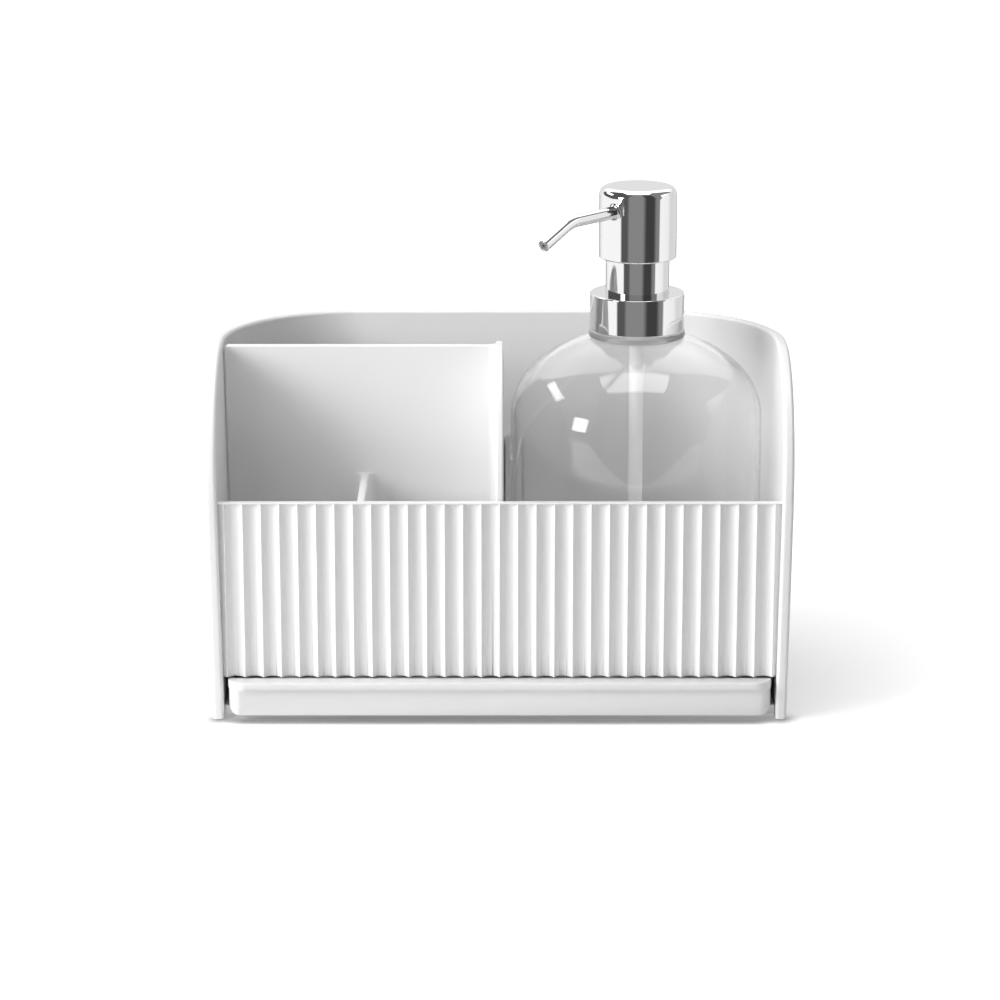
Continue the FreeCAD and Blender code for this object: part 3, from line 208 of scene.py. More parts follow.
innerMoulding = {
    "colour": "ebebeb", "shade": "e4e4e4", "roughness": 0.3, "clear": 0.25,
    "cloudSize": 6.0, "cloudHeight": 0.01,
}


def naturalPolypropylene(name, look):
    # Unpigmented polypropylene: milky, waxy and a little see-through at thin walls.
    material, tree = newMaterial(name)
    place = addNode(tree, "TexCoord").outputs["Object"]
    cloud = addNode(tree, "TexNoise", {"Vector": place, "Scale": 1 / (look["cloudSize"] * mm),
                                       "Detail": 3.0})
    tone = addNode(tree, "Mix", {"Factor": cloud.outputs["Fac"], 6: linear(look["shade"]),
                                 7: linear(look["colour"])}, data_type="RGBA")
    skin = addNode(tree, "Bump", {"Height": cloud.outputs["Fac"], "Strength": 0.2,
                                  "Distance": look["cloudHeight"] * mm})
    wax = addNode(tree, "BsdfPrincipled", {"Base Color": tone.outputs[2], "IOR": 1.49,
                                           "Roughness": look["roughness"],
                                           "Transmission Weight": look["clear"],
                                           "Normal": skin.outputs["Normal"]})
    addNode(tree, "OutputMaterial", {"Surface": wax})
    return material


tubeWall = {
    "colour": "f4f4f4", "shade": "eeeeee", "roughness": 0.3, "cloudSize": 4.0,
    "paintedGlow": 0.18, "through": 0.4, "clear": 0.3,
}


def drawnTube(name, look):
    # Extruded low-density polyethylene: a milky wall that lets some light through, with a painted
    # glow on top.
    material, tree = newMaterial(name)
    place = addNode(tree, "TexCoord").outputs["Object"]
    cloud = addNode(tree, "TexNoise", {"Vector": place, "Scale": 1 / (look["cloudSize"] * mm)})
    tone = addNode(tree, "Mix", {"Factor": cloud.outputs["Fac"], 6: linear(look["shade"]),
                                 7: linear(look["colour"])}, data_type="RGBA")
    # The emission is a painted glow, which makes the milky tube lighter than what lies round it in
    # the bottle.
    skin = addNode(tree, "BsdfPrincipled", {"Base Color": tone.outputs[2], "IOR": 1.5,
                                            "Roughness": look["roughness"],
                                            "Emission Color": (1, 1, 1, 1),
                                            "Emission Strength": look["paintedGlow"]})
    through = addNode(tree, "BsdfTranslucent", {"Color": tone.outputs[2]})
    clear = addNode(tree, "BsdfTransparent")
    milky = addNode(tree, "MixShader", {0: look["through"], 1: skin, 2: through})
    wall = addNode(tree, "MixShader", {0: look["clear"], 1: milky, 2: clear})
    addNode(tree, "OutputMaterial", {"Surface": wall})
    return material


softFinishes = {  # the pebble's width and height are in millimetres
    "thermoplasticRubber": {"colour": "9a9a9a", "roughness": 0.75, "pebble": 0.5, "height": 0.03},
    "siliconeRubber": {"colour": "d5d5d5", "roughness": 0.55, "pebble": 0.8, "height": 0.02},
    "polyethyleneFoam": {"colour": "dbdbdb", "roughness": 0.9, "pebble": 0.25, "height": 0.06},
    "greyAcetal": {"colour": "787878", "roughness": 0.4, "pebble": 0.4, "height": 0.004},
}
pebbleSpread = 0.1


def dullFinish(name):
    # Moulded rubber, foam and acetal: a dull skin with a fine pebble that scatters the light.
    look = softFinishes[name]
    material, tree = newMaterial(name)
    place = addNode(tree, "TexCoord").outputs["Object"]
    grain = addNode(tree, "TexVoronoi", {"Vector": place, "Scale": 1 / (look["pebble"] * mm)})
    shade = addNode(tree, "MapRange", {"Value": grain.outputs["Distance"],
                                       "To Min": look["roughness"],
                                       "To Max": look["roughness"] + pebbleSpread})
    skin = addNode(tree, "Bump", {"Height": grain.outputs["Distance"], "Strength": 0.4,
                                  "Distance": look["height"] * mm})
    body = addNode(tree, "BsdfPrincipled", {"Base Color": linear(look["colour"]), "IOR": 1.5,
                                            "Roughness": shade.outputs["Result"],
                                            "Normal": skin.outputs["Normal"]})
    addNode(tree, "OutputMaterial", {"Surface": body})
    return material


steelFinishes = {
    "drawnSpringSteel": {"colour": "bababa", "roughness": 0.22, "lineSize": 0.2},
    "groundBallSteel": {"colour": "c5c5c5", "roughness": 0.1, "lineSize": 0.4},
}
lineSpread = 0.15


def stainlessSteel(name):
    # Drawn or ground stainless steel: grey metal with fine lines from the die or the wheel.
    look = steelFinishes[name]
    material, tree = newMaterial(name)
    place = addNode(tree, "TexCoord").outputs["Object"]
    lines = addNode(tree, "TexNoise", {"Vector": place, "Scale": 1 / (look["lineSize"] * mm),
                                       "Detail": 2.0})
    polish = addNode(tree, "MapRange", {"Value": lines.outputs["Fac"],
                                        "To Min": look["roughness"],
                                        "To Max": look["roughness"] + lineSpread})
    metal = addNode(tree, "BsdfPrincipled", {"Base Color": linear(look["colour"]),
                                             "Metallic": 1.0,
                                             "Roughness": polish.outputs["Result"]})
    addNode(tree, "OutputMaterial", {"Surface": metal})
    return material


whitePolystyrene = satinPlastic("whitePolystyrene", whiteMoulding)
chromedAbs = platedChrome("chromedAbs", chromePlate)
bottlePetg = clearPetg("bottlePetg", clearWall)
pumpPolypropylene = naturalPolypropylene("pumpPolypropylene", innerMoulding)
tubePolyethylene = drawnTube("tubePolyethylene", tubeWall)
footRubber = dullFinish("thermoplasticRubber")
sealRubber = dullFinish("siliconeRubber")
gasketFoam = dullFinish("polyethyleneFoam")
insertAcetal = dullFinish("greyAcetal")
springSteel = stainlessSteel("drawnSpringSteel")
ballSteel = stainlessSteel("groundBallSteel")
print("materials ready")

creaseDegrees = 50  # an edge that turns more than this stays sharp
weldReach = 1e-7


def addPiece(name, bm, body, material, replaced=(), crease=creaseDegrees):
    mesh = bpy.data.meshes.new(name)
    bm.to_mesh(mesh)
    bm.free()
    mesh.shade_smooth()
    mesh.set_sharp_from_angle(angle=math.radians(crease))
    piece = bpy.data.objects.new(name, mesh)
    bpy.context.scene.collection.objects.link(piece)
    mesh.materials.append(material)
    weighted = piece.modifiers.new("evenNormals", "WEIGHTED_NORMAL")
    weighted.keep_sharp = True
    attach(piece, body)
    if replaced:
        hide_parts(*replaced)
    return piece


# Profiles to turn are runs of corners, each at a radius and a height in millimetres.
def startRun(bm, radius, height):
    return [bm.verts.new((radius * mm, 0, height * mm))]


def lineTo(bm, run, radius, height):
    corner = bm.verts.new((radius * mm, 0, height * mm))
    bm.edges.new((run[-1], corner))
    run.append(corner)


# An arc of more than zero degrees turns up the side and towards the axis.
def arcTo(bm, run, centreRadius, centreHeight, degrees, steps):
    spun = bmesh.ops.spin(bm, geom=[run[-1]], cent=(centreRadius * mm, 0, centreHeight * mm),
                          axis=(0, -1, 0), angle=math.radians(degrees), steps=steps)
    last = spun["geom_last"][0]
    chain = [run[-1]]
    while chain[-1] is not last:
        ahead = [edge.other_vert(chain[-1]) for edge in chain[-1].link_edges]
        ahead = [corner for corner in ahead if corner not in run and corner not in chain]
        chain.append(ahead[0])
    run.extend(chain[1:])


def roundCorners(bm, corners, radius, segments):
    bmesh.ops.bevel(bm, geom=corners, offset=radius * mm, offset_type="OFFSET", affect="VERTICES",
                    segments=segments, profile=0.5, material=-1)


def turnProfile(bm, steps):  # a full turn about the local Z axis
    bmesh.ops.spin(bm, geom=bm.verts[:] + bm.edges[:], cent=(0, 0, 0), axis=(0, 0, 1),
                   angle=math.tau, steps=steps, use_merge=True)
    bmesh.ops.remove_doubles(bm, verts=bm.verts, dist=weldReach)
    bmesh.ops.recalc_face_normals(bm, faces=bm.faces)


collarLow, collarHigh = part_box("collar_shell")
pumpAxis = (collarLow + collarHigh) / 2
pumpAxis.z = 0
toPump = Matrix.Translation(pumpAxis)

solidWeldReach = 1e-6
solidCrease = 28


def mergedCopy(node, body, material):  # the solid's own faces, joined and shaded smooth
    bm = bmesh.new()
    bm.from_mesh(nodes[node].data)
    bmesh.ops.remove_doubles(bm, verts=bm.verts, dist=solidWeldReach)
    return addPiece(node + "_moulding", bm, body, material, [node], solidCrease)


for node, body in (("caddy_shell", "caddy"), ("base_plate", "caddy"),
                   ("partition_insert", "partition"), ("drip_tray", "tray")):
    mergedCopy(node, body, whitePolystyrene)
print("white mouldings ready")


def buildBottle(form):
    foot, top = levels("bottle")
    radius, wall, heel = form["radius"] - 2 * insideBox, form["wall"], form["heel"]
    beadTop = top - form["neckHeight"]
    beadFoot = beadTop - form["beadThick"]
    bead = form["beadReach"]
    meet = bead - form["beadLedge"]
    # The dome is two arcs. Seen from where they meet, the crown's centre lies behind the
    # shoulder's.
    shoulder, crown, turned = form["shoulder"], form["crown"], form["shoulderTurn"]
    shoulderPlace = radius - shoulder
    crownPlace = shoulderPlace - (crown - shoulder) * math.cos(math.radians(turned))
    crownDrop = (crown - shoulder) * math.sin(math.radians(turned))
    crownRise = math.sqrt(crown ** 2 - (meet - crownPlace) ** 2)
    crownTurn = math.degrees(math.atan2(crownRise, meet - crownPlace)) - turned
    base = beadFoot - crownRise + crownDrop
    crownLevel = base - crownDrop
    boreRise = math.sqrt((crown - wall) ** 2 - (form["neckBore"] - crownPlace) ** 2)
    boreTurn = math.degrees(math.atan2(boreRise, form["neckBore"] - crownPlace)) - turned
    stand = radius - form["standWidth"]
    floor = foot + form["floor"]

    bm = bmesh.new()
    run = startRun(bm, 0, foot + form["push"])
    lineTo(bm, run, stand - 2 * form["push"], foot + form["push"])
    lineTo(bm, run, stand, foot)
    standCorners = run[-2:]
    lineTo(bm, run, radius - heel, foot)
    arcTo(bm, run, radius - heel, foot + heel, 90, form["heelSteps"])
    lineTo(bm, run, radius, base)
    arcTo(bm, run, shoulderPlace, base, turned, form["shoulderSteps"])
    arcTo(bm, run, crownPlace, crownLevel, crownTurn, form["crownSteps"])
    lineTo(bm, run, bead, beadFoot)
    lineTo(bm, run, bead, beadTop)
    beadCorners = run[-2:]
    lineTo(bm, run, form["neck"], beadTop)
    lineTo(bm, run, form["neck"], top)
    lineTo(bm, run, form["neckBore"], top)
    rimCorners = run[-2:]
    lineTo(bm, run, form["neckBore"], crownLevel + boreRise)
    arcTo(bm, run, crownPlace, crownLevel, -boreTurn, form["innerSteps"])
    arcTo(bm, run, shoulderPlace, base, -turned, form["innerSteps"])
    innerHeel = heel - wall
    lineTo(bm, run, radius - wall, floor + innerHeel)
    arcTo(bm, run, radius - wall - innerHeel, floor + innerHeel, -90, form["innerHeelSteps"])
    lineTo(bm, run, 0, floor + form["push"])
    roundCorners(bm, beadCorners, form["beadRound"], form["beadSteps"])
    roundCorners(bm, standCorners, form["standRound"], form["edgeSteps"])
    roundCorners(bm, rimCorners, form["rimRound"], form["edgeSteps"])
    turnProfile(bm, form["turns"])
    bmesh.ops.transform(bm, matrix=toPump, verts=bm.verts)
    addPiece("clear_bottle", bm, "bottle", bottlePetg, ["bottle"])


buildBottle(bottleForm)
print("bottle ready")


chromeForm = {
    "collar": 17.0, "collarWall": 0.9, "collarRound": 0.45,
    "sleeve": 11.46, "sleeveWall": 0.85, "sleeveRound": 0.4,
    "head": 13.9, "headWall": 1.2, "headRoof": 1.5, "headCrown": 3.0, "headFootRound": 0.5,
    "turns": 192, "roundSteps": 6, "sleeveSteps": 4, "crownSteps": 18,
}


def buildCollar(form):
    low, high = levels("collar_shell")
    outer = form["collar"] - insideBox
    hole = form["sleeve"] + seatGap
    bm = bmesh.new()
    run = startRun(bm, outer - form["collarWall"], low)
    lineTo(bm, run, outer, low)
    lineTo(bm, run, outer, high)
    edges = run[-2:]
    lineTo(bm, run, hole, high)
    lineTo(bm, run, hole, high - form["collarWall"])
    lineTo(bm, run, outer - form["collarWall"], high - form["collarWall"])
    bm.edges.new((run[-1], run[0]))
    roundCorners(bm, edges, form["collarRound"], form["roundSteps"])
    turnProfile(bm, form["turns"])
    bmesh.ops.transform(bm, matrix=toPump, verts=bm.verts)
    addPiece("chrome_collar", bm, "collar", chromedAbs, ["collar_shell"])


def buildSleeve(form):
    low, high = levels("sleeve")
    outer = form["sleeve"] - insideBox
    bm = bmesh.new()
    run = startRun(bm, outer - form["sleeveWall"], low)
    lineTo(bm, run, outer, low)
    lineTo(bm, run, outer, high)
    edge = run[-1:]
    lineTo(bm, run, outer - form["sleeveWall"], high)
    bm.edges.new((run[-1], run[0]))
    roundCorners(bm, edge, form["sleeveRound"], form["sleeveSteps"])
    turnProfile(bm, form["turns"])
    bmesh.ops.transform(bm, matrix=toPump, verts=bm.verts)
    addPiece("chrome_sleeve", bm, "collar", chromedAbs, ["sleeve"])


def buildHead(form):
    low, high = levels("head_cap")
    outer, wall = form["head"] - insideBox, form["headWall"]
    ceiling = high - form["headRoof"]
    bm = bmesh.new()
    run = startRun(bm, 0, ceiling)
    lineTo(bm, run, outer - wall, ceiling)
    ceilingCorner = run[-1:]
    lineTo(bm, run, outer - wall, low)
    lineTo(bm, run, outer, low)
    footCorners = run[-2:]
    lineTo(bm, run, outer, high)
    crownCorner = run[-1:]
    lineTo(bm, run, 0, high)
    roundCorners(bm, footCorners, form["headFootRound"], form["roundSteps"])
    roundCorners(bm, crownCorner, form["headCrown"], form["crownSteps"])
    roundCorners(bm, ceilingCorner, form["headCrown"] - wall, form["roundSteps"])
    turnProfile(bm, form["turns"])
    bmesh.ops.transform(bm, matrix=toPump, verts=bm.verts)
    addPiece("chrome_head", bm, "head", chromedAbs, ["head_cap"])


buildCollar(chromeForm)
buildSleeve(chromeForm)
buildHead(chromeForm)


spoutForm = {
    "heading": 230.0, "below": 7.7, "radius": 2.2, "bore": 1.4, "sides": 96,
    "stubReach": 3.5, "stubEdgeLong": 0.12, "stubEdgeWide": 0.25, "flare": 0.9, "flareSteps": 14,
    "knee": 38.4, "drop": 23.0, "bend": 18.0, "bendSteps": 24, "end": 16.2,
    "tipRound": 0.3, "tipSteps": 5, "boreEdge": 0.12, "boreShown": 1.0,
    "insertSink": 0.15, "insertLength": 5.0, "insertSides": 48,
    "insertHole": 0.5, "insertHoleDeep": 3.0, "insertEdgeWide": 0.12, "insertEdgeDeep": 0.15,
}
spoutLevel = levels("head_cap")[1] - spoutForm["below"]
toSpout = toPump @ Matrix.Rotation(math.radians(spoutForm["heading"]), 4, "Z") \
    @ Matrix.Translation((0, 0, spoutLevel * mm))
alongX = Matrix.Rotation(math.pi / 2, 3, "Y")  # what stood along Z lies along X


def buildFlare(form):  # the moulded stub, swept out to meet the head's round side
    side = chromeForm["head"] - insideBox
    spread = form["radius"] + form["flare"]
    bm = bmesh.new()
    run = startRun(bm, spread, 0)
    arcTo(bm, run, spread, form["flare"], -90, form["flareSteps"])
    lineTo(bm, run, form["radius"], form["stubReach"] - form["stubEdgeLong"])
    lineTo(bm, run, form["radius"] - form["stubEdgeWide"], form["stubReach"])
    lineTo(bm, run, form["bore"], form["stubReach"])
    turnProfile(bm, form["sides"])
    bmesh.ops.rotate(bm, verts=bm.verts, cent=(0, 0, 0), matrix=alongX)
    for corner in bm.verts:  # near the head a ring follows the head's side, farther out it is flat
        height = corner.co.x
        share = min(height / (form["flare"] * mm), 1.0)
        share = share * share * (3 - 2 * share)
        onSide = math.sqrt((side * mm) ** 2 - corner.co.y ** 2)
        corner.co.x = onSide * (1 - share) + side * mm * share + height
    bmesh.ops.recalc_face_normals(bm, faces=bm.faces)
    bmesh.ops.transform(bm, matrix=toSpout, verts=bm.verts)
    addPiece("spout_flare", bm, "head", chromedAbs)


def buildSpout(form):
    start = chromeForm["head"] + form["stubReach"] + seatGap
    drop = math.radians(form["drop"])
    lead = form["bend"] * math.tan(drop / 2)
    down = Vector((math.cos(drop), 0, -math.sin(drop)))
    bm = bmesh.new()
    ring = bmesh.ops.create_circle(bm, segments=form["sides"], radius=form["radius"] * mm)["verts"]
    bmesh.ops.rotate(bm, verts=ring, cent=(0, 0, 0), matrix=alongX)
    bmesh.ops.translate(bm, verts=ring, vec=(start * mm, 0, 0))
    rim = bm.edges[:]

    def pull(edges, vector, scale=1.0):
        grown = bmesh.ops.extrude_edge_only(bm, edges=edges)["geom"]
        corners = [item for item in grown if isinstance(item, bmesh.types.BMVert)]
        bmesh.ops.translate(bm, verts=corners, vec=vector)
        if scale != 1.0:
            centre = sum((corner.co for corner in corners), Vector()) / len(corners)
            for corner in corners:
                corner.co = centre + (corner.co - centre) * scale
        return [item for item in grown if isinstance(item, bmesh.types.BMEdge)]

    rim = pull(rim, ((form["knee"] - lead - start) * mm, 0, 0))
    spun = bmesh.ops.spin(bm, geom=rim, cent=((form["knee"] - lead) * mm, 0, -form["bend"] * mm),
                          axis=(0, 1, 0), angle=drop, steps=form["bendSteps"])
    rim = [item for item in spun["geom_last"] if isinstance(item, bmesh.types.BMEdge)]
    length = form["end"] - lead - form["tipRound"]
    rim = pull(rim, down * length * mm)
    before = form["radius"]
    step = math.pi / 2 / form["tipSteps"]
    for number in range(1, form["tipSteps"] + 1):  # the rounded outer lip of the tube's end
        turn = step * number
        after = form["radius"] - form["tipRound"] * (1 - math.cos(turn))
        travel = form["tipRound"] * (math.sin(turn) - math.sin(turn - step))
        rim = pull(rim, down * travel * mm, after / before)
        before = after
    wide = form["bore"] + form["boreEdge"]
    rim = pull(rim, (0, 0, 0), wide / before)
    rim = pull(rim, down * -form["boreEdge"] * mm, form["bore"] / wide)
    pull(rim, down * -form["boreShown"] * mm)
    bmesh.ops.recalc_face_normals(bm, faces=bm.faces)
    bmesh.ops.transform(bm, matrix=toSpout, verts=bm.verts)
    addPiece("spout_bent_tube", bm, "head", chromedAbs, ["spout_tube"])

    tip = Vector((form["knee"] * mm, 0, 0)) + down * form["end"] * mm
    toTip = toSpout @ Matrix.Translation(tip) @ Matrix.Rotation(math.pi / 2 + drop, 4, "Y")
    bm = bmesh.new()
    outer, face = form["bore"] - 2 * insideBox, -form["insertSink"]
    run = startRun(bm, outer, face - form["insertLength"])
    lineTo(bm, run, outer, face)
    lineTo(bm, run, form["insertHole"] + form["insertEdgeWide"], face)
    lineTo(bm, run, form["insertHole"], face - form["insertEdgeDeep"])
    lineTo(bm, run, form["insertHole"], face - form["insertHoleDeep"])
    lineTo(bm, run, 0, face - form["insertHoleDeep"])
    turnProfile(bm, form["insertSides"])
    bmesh.ops.transform(bm, matrix=toTip, verts=bm.verts)
    addPiece("outlet_insert", bm, "head", insertAcetal, ["spout_nozzle"])


buildFlare(spoutForm)
buildSpout(spoutForm)
print("chrome pump ready")


tubeForm = {"outer": 2.53, "inner": 1.75, "bevel": 4.0, "sides": 64}


def buildDipTube(form):
    low, high = levels("dip_tube")
    bm = bmesh.new()
    run = startRun(bm, form["inner"], low)
    lineTo(bm, run, form["outer"], low)
    lineTo(bm, run, form["outer"], high)
    lineTo(bm, run, form["inner"], high)
    bm.edges.new((run[-1], run[0]))
    turnProfile(bm, form["sides"])
    slope = Vector((-form["bevel"], 0, 2 * form["outer"])).normalized()
    cut = bmesh.ops.bisect_plane(bm, geom=bm.verts[:] + bm.edges[:] + bm.faces[:],
                                 plane_co=(-form["outer"] * mm, 0, low * mm), plane_no=slope,
                                 clear_inner=True)
    cutEdges = [edge for edge in cut["geom_cut"] if isinstance(edge, bmesh.types.BMEdge)]
    bmesh.ops.bridge_loops(bm, edges=cutEdges)
    bmesh.ops.recalc_face_normals(bm, faces=bm.faces)
    bmesh.ops.transform(bm, matrix=toPump, verts=bm.verts)
    addPiece("suction_tube", bm, "pump_body", tubePolyethylene, ["dip_tube"])


buildDipTube(tubeForm)
print("dip tube ready")


# Pieces whose solids are right as they are, and only take a finish.
solidFinishes = {
    "pump_housing": pumpPolypropylene, "chamber_lock": pumpPolypropylene,
    "closure_cap": pumpPolypropylene, "stem": pumpPolypropylene, "head_core": pumpPolypropylene,
    "neck_gasket": gasketFoam, "piston_seal": sealRubber,
    "inlet_ball": ballSteel, "outlet_ball": ballSteel,
    "foot_front_left": footRubber, "foot_front_right": footRubber,
    "foot_rear_left": footRubber, "foot_rear_right": footRubber,
}
for node, material in solidFinishes.items():
    mesh = nodes[node].data
    mesh.materials.clear()
    mesh.materials.append(material)

# The spring's solid, joined and shaded smooth, on a mesh of its own.
spring = mergedCopy("return_spring", "pump_body", springSteel)
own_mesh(spring)
print("inner pieces ready")


sweepLook = {
    "span": 12.0, "colour": "ebebeb",
    "edgeMiddle": 0.04, "edgeWidth": 0.43, "edgeDepth": 0.347, "edgePower": 2.6,
    "glowNear": 0.26, "glowFar": 0.85, "glowFrom": 0.07, "glowTo": 0.3, "glossGlow": 0.08,
    "contactReach": 0.0055, "contactPower": 4.5, "contactFrom": -0.045, "contactTo": -0.056,
}


def buildFloor(look):
    bm = bmesh.new()
    bmesh.ops.create_grid(bm, x_segments=1, y_segments=1, size=look["span"] / 2)
    mesh = bpy.data.meshes.new("studio_floor")
    bm.to_mesh(mesh)
    bm.free()
    floor = bpy.data.objects.new("studio_floor", mesh)
    bpy.context.scene.collection.objects.link(floor)
    material, tree = newMaterial("whiteSweep")
    path = addNode(tree, "LightPath").outputs
    place = addNode(tree, "TexCoord").outputs["Object"]
    along = addNode(tree, "SeparateXYZ", {"Vector": place}).outputs

    # The table ends in a rounded edge, and what gloss would see past it is the room.
    aside = addNode(tree, "Math", {0: along["X"], 1: look["edgeMiddle"]}, operation="SUBTRACT")
    aside = addNode(tree, "Math", {0: aside}, operation="ABSOLUTE")
    aside = addNode(tree, "Math", {0: aside, 1: look["edgeWidth"]}, operation="DIVIDE")
    aside = addNode(tree, "Math", {0: aside, 1: look["edgePower"]}, operation="POWER")
    ahead = addNode(tree, "Math", {0: along["Y"], 1: -1 / look["edgeDepth"]}, operation="MULTIPLY")
    ahead = addNode(tree, "Math", {0: ahead, 1: 0.0}, operation="MAXIMUM")
    ahead = addNode(tree, "Math", {0: ahead, 1: look["edgePower"]}, operation="POWER")
    reach = addNode(tree, "Math", {0: aside, 1: ahead}, operation="ADD")
    past = addNode(tree, "Math", {0: reach, 1: 1.0}, operation="GREATER_THAN")
    beyond = addNode(tree, "Math", {0: past, 1: path["Is Glossy Ray"]}, operation="MULTIPLY")

    # Little light comes in close before the tray, so a painted contact shadow, taken from how open
    # the sweep is above it, darkens its colour towards the tray's foot there; only the camera sees
    # it.
    opened = addNode(tree, "AmbientOcclusion", {"Distance": look["contactReach"]}, samples=6)
    opened = addNode(tree, "Math", {0: opened.outputs["AO"], 1: look["contactPower"]},
                     operation="POWER")
    closed = addNode(tree, "Math", {0: 1.0, 1: opened}, operation="SUBTRACT")
    closed = addNode(tree, "Math", {0: closed, 1: path["Is Camera Ray"]}, operation="MULTIPLY")
    before = addNode(tree, "MapRange", {"Value": along["Y"], "From Min": look["contactFrom"],
                                        "From Max": look["contactTo"]})
    closed = addNode(tree, "Math", {0: closed, 1: before}, operation="MULTIPLY")
    paintedContactShadow = addNode(tree, "Math", {0: 1.0, 1: closed}, operation="SUBTRACT")
    tone = addNode(tree, "VectorMath", {0: linear(look["colour"])[:3], "Scale": paintedContactShadow.outputs[0]},
                   operation="SCALE")
    paint = addNode(tree, "BsdfDiffuse", {"Color": tone})

    # Past the lamps' reach the sweep is lit by others, so it stays as white as beside the object.
    seen = addNode(tree, "Math", {0: path["Is Camera Ray"], 1: path["Is Transmission Ray"]},
                   operation="MAXIMUM")
    away = addNode(tree, "VectorMath", {0: place}, operation="LENGTH").outputs["Value"]
    glow = addNode(tree, "MapRange", {"Value": away, "From Min": look["glowFrom"],
                                      "From Max": look["glowTo"], "To Min": look["glowNear"],
                                      "To Max": look["glowFar"]})
    # The painted contact shadow darkens the glow too.
    seen = addNode(tree, "Math", {0: seen, 1: paintedContactShadow}, operation="MULTIPLY")
    shown = addNode(tree, "Math", {0: seen, 1: glow}, operation="MULTIPLY")
    mirrored = addNode(tree, "Math", {0: look["glossGlow"], 1: path["Is Glossy Ray"]},
                       operation="MULTIPLY")
    strength = addNode(tree, "Math", {0: shown, 1: mirrored}, operation="ADD")
    light = addNode(tree, "Emission", {"Strength": strength})
    lit = addNode(tree, "AddShader", {0: paint, 1: light})
    clear = addNode(tree, "BsdfTransparent")
    both = addNode(tree, "MixShader", {0: beyond, 1: lit, 2: clear})
    addNode(tree, "OutputMaterial", {"Surface": both})
    mesh.materials.append(material)


# A lamp that shows is only seen in gloss and glass, and the others only light what is dull.
objectMiddle = (0.0, 0.0, 0.08)
lamps = {
    "key_light": {"place": (-1.125, -0.4545, 0.578), "size": (0.85, 0.6), "power": 15.0,
                  "aim": objectMiddle, "shows": False},
    "front_fill": {"place": (-0.75, -0.93, 0.5), "size": (0.9, 0.6), "power": 3.2,
                   "aim": objectMiddle, "shows": False},
    "top_light": {"place": (0.0, 0.1, 1.05), "size": (0.82, 0.45), "power": 4.0,
                  "aim": (0.0, 0.1, 0.0), "shows": False},
    "window": {"place": (-0.943, -0.689, 0.362), "size": (0.295, 0.4), "power": 3.2,
               "aim": objectMiddle, "shows": True},
    "softbox": {"place": (0.035, -0.03, 0.95), "size": (0.6, 0.378), "power": 2.2,
                "aim": (0.035, -0.03, 0.0), "shows": True},
    "left_strip": {"place": (-1.008, 0.353, 0.825), "size": (0.62, 0.26), "power": 2.6,
                   "aim": objectMiddle, "shows": True},
    "light_through_bottle": {"place": (0.044, 0.004, 0.05), "size": (0.07, 0.07), "power": 0.0062,
                             "aim": (0.044, 1.0, 0.05), "shows": False},
    "light_to_side_wall": {"place": (0.06, 0.0, 0.085), "size": (0.08, 0.08), "power": 0.005,
                           "aim": (1.0, 0.0, 0.085), "shows": False},
}


def addLamp(name, look):
    lamp = bpy.data.lights.new(name, "AREA")
    lamp.shape = "RECTANGLE"
    lamp.size, lamp.size_y = look["size"]
    lamp.energy = look["power"]
    holder = bpy.data.objects.new(name, lamp)
    holder.location = look["place"]
    way = Vector(look["aim"]) - Vector(look["place"])
    holder.rotation_euler = way.to_track_quat("-Z", "Y").to_euler()
    holder.visible_diffuse = not look["shows"]
    holder.visible_glossy = look["shows"]
    holder.visible_transmission = look["shows"]
    holder.visible_camera = look["shows"]
    bpy.context.scene.collection.objects.link(holder)


# What gloss sees of the room: light walls, and before the table an unlit part. Its rim is given
# round a middle direction as turns from the right and reaches from the middle, in degrees. The
# tones of both go by azimuth from the front.
roomLook = {
    "middle": (0.0, 35.0), "rimSoftness": 2.0, "fullReach": 120.0,
    "rim": [(-180, 97), (-171, 92), (-165, 84), (-156, 72), (-147, 68), (-142, 71), (-133, 81),
            (-90, 66), (-56, 75), (-40, 87), (-30, 77), (-24, 77), (-10, 73), (2, 69), (12, 64),
            (21, 63), (31, 73), (37, 87), (46, 103), (52, 97), (62, 80), (71, 72), (86, 68),
            (98, 69), (110, 74), (121, 86), (127, 95), (133, 110), (143, 115), (158, 112),
            (170, 104), (180, 97)],
    "unlitTones": [(-57, 0.12), (-34, 0.12), (-27, 0.31), (12, 0.31), (23, 0.064), (46, 0.064),
                   (55, 0.28), (64, 0.28)],
    "wallTones": [(-180, 0.9), (-150, 1.0), (-125, 1.25), (-55, 1.25), (55, 1.25), (98, 1.15),
                  (110, 0.9), (180, 0.9)],
    "ceiling": 2.1, "ceilingFrom": 0.35, "ceilingTo": 0.6, "ambient": 0.28,
}


def towards(azimuth, rise):  # azimuth from the front, above zero to the right
    flat = math.cos(math.radians(rise))
    return Vector((math.sin(math.radians(azimuth)) * flat, -math.cos(math.radians(azimuth)) * flat,
                   math.sin(math.radians(rise))))


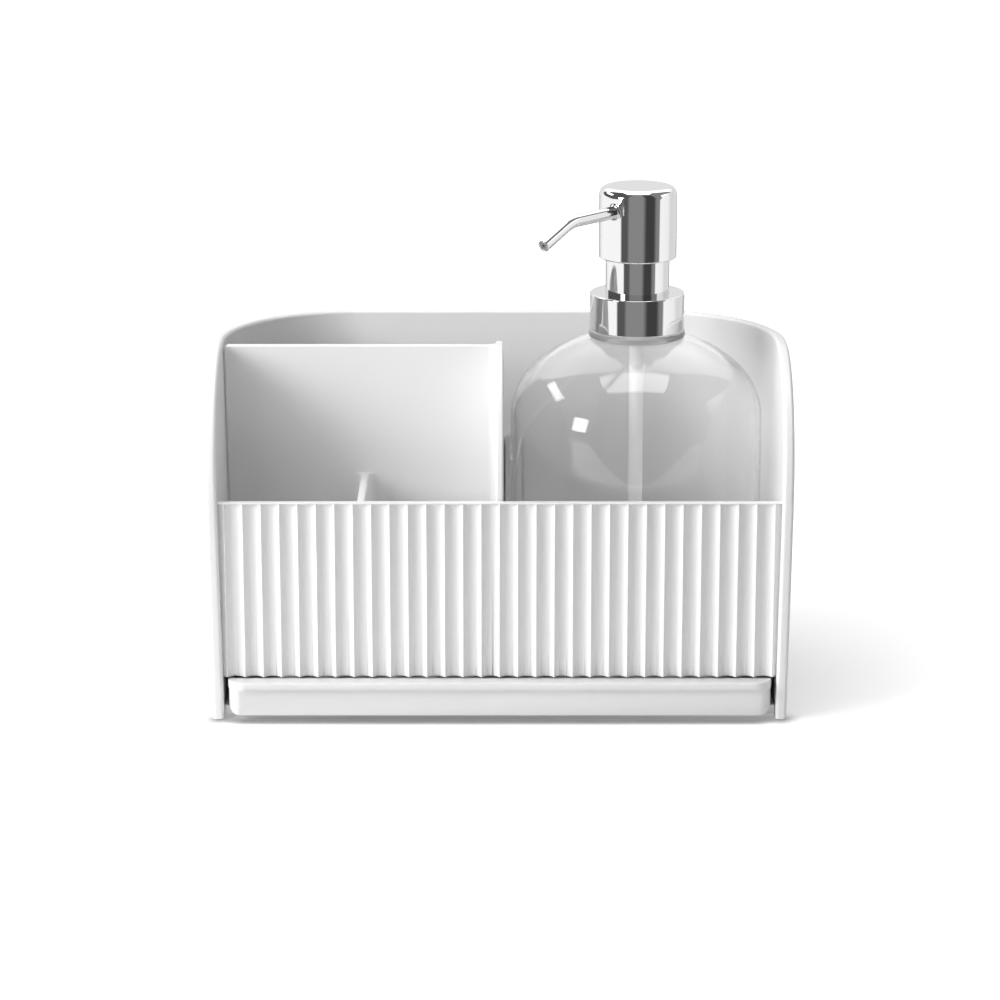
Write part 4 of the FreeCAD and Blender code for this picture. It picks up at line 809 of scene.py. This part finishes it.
def buildWorld(look):
    world = bpy.data.worlds.new("studioRoom")
    world.use_nodes = True
    bpy.context.scene.world = world
    tree = world.node_tree
    tree.nodes.clear()
    way = addNode(tree, "TexCoord").outputs["Generated"]
    azimuth, rise = look["middle"]
    directions = (towards(azimuth, rise), towards(azimuth + 180, 90 - rise), (1, 0, 0), (0, -1, 0),
                  (0, 0, 1))
    middle, above, right, front, up = [
        addNode(tree, "VectorMath", {0: way, 1: direction},
                operation="DOT_PRODUCT").outputs["Value"]
        for direction in directions]

    # The unlit part's rim, as how far it reaches from its middle at each turn round it.
    turn = addNode(tree, "Math", {0: above, 1: right}, operation="ARCTAN2")
    place = addNode(tree, "MapRange", {"Value": turn, "From Min": -math.pi, "From Max": math.pi})
    rim = addNode(tree, "FloatCurve", {"Value": place})
    points = rim.mapping.curves[0].points
    while len(points) < len(look["rim"]):
        points.new(0.5, 0.5)
    for number, (turned, reached) in enumerate(look["rim"]):
        points[number].location = ((turned + 180) / 360, reached / look["fullReach"])
        points[number].handle_type = "AUTO_CLAMPED"
    rim.mapping.update()
    limit = addNode(tree, "Math", {0: rim, 1: math.radians(look["fullReach"])},
                    operation="MULTIPLY")
    reach = addNode(tree, "Math", {0: middle}, operation="ARCCOSINE")
    past = addNode(tree, "Math", {0: reach, 1: limit}, operation="SUBTRACT")
    soft = math.radians(look["rimSoftness"])
    mask = addNode(tree, "MapRange", {"Value": past, "From Min": soft, "From Max": -soft},
                   interpolation_type="SMOOTHSTEP")

    heading = addNode(tree, "Math", {0: right, 1: front}, operation="ARCTAN2")
    around = addNode(tree, "MapRange", {"Value": heading, "From Min": -math.pi,
                                        "From Max": math.pi})
    ramps = []
    for tones in (look["unlitTones"], look["wallTones"]):
        ramp = addNode(tree, "ValToRGB", {"Fac": around})
        elements = ramp.color_ramp.elements
        while len(elements) < len(tones):
            elements.new(1.0)
        for number, (turned, tone) in enumerate(tones):
            elements[number].position = (turned + 180) / 360
            elements[number].color = (tone, tone, tone, 1)
        ramps.append(ramp)
    unlit, wall = ramps
    high = addNode(tree, "MapRange", {"Value": up, "From Min": look["ceilingFrom"],
                                      "From Max": look["ceilingTo"], "To Min": 1.0,
                                      "To Max": look["ceiling"]})
    wall = addNode(tree, "VectorMath", {0: wall, "Scale": high}, operation="SCALE")
    room = addNode(tree, "Mix", {0: mask, 6: wall, 7: unlit}, data_type="RGBA")

    path = addNode(tree, "LightPath").outputs
    seen = addNode(tree, "Math", {0: path["Is Camera Ray"], 1: path["Is Transmission Ray"]},
                   operation="MAXIMUM")
    ambient = addNode(tree, "Background", {"Color": (1, 1, 1, 1), "Strength": look["ambient"]})
    white = addNode(tree, "Background", {"Color": (1, 1, 1, 1), "Strength": 1.0})
    gloss = addNode(tree, "Background", {"Color": room.outputs[2], "Strength": 1.0})
    unseen = addNode(tree, "MixShader", {0: path["Is Glossy Ray"], 1: ambient, 2: gloss})
    both = addNode(tree, "MixShader", {0: seen, 1: unseen, 2: white})
    addNode(tree, "OutputWorld", {"Surface": both})


buildFloor(sweepLook)
for name, look in lamps.items():
    addLamp(name, look)
buildWorld(roomLook)

view = {"distance": 1.16195, "height": 0.398, "pitch": 15.292, "lens": 124.787, "shift": 0.0003}
lens = bpy.data.cameras.new("photo_view")
lens.lens = view["lens"]
lens.sensor_width = 36.0
lens.shift_x = view["shift"]
lens.clip_start = 0.05
lens.clip_end = 50.0
camera = bpy.data.objects.new("photo_view", lens)
camera.location = (0, -(view["distance"] + middleY), view["height"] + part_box("caddy_shell")[0].z)
camera.rotation_euler = (math.radians(90 - view["pitch"]), 0, 0)
bpy.context.scene.collection.objects.link(camera)
bpy.context.scene.camera = camera
bpy.context.scene.view_settings.view_transform = "Standard"
print("studio ready")
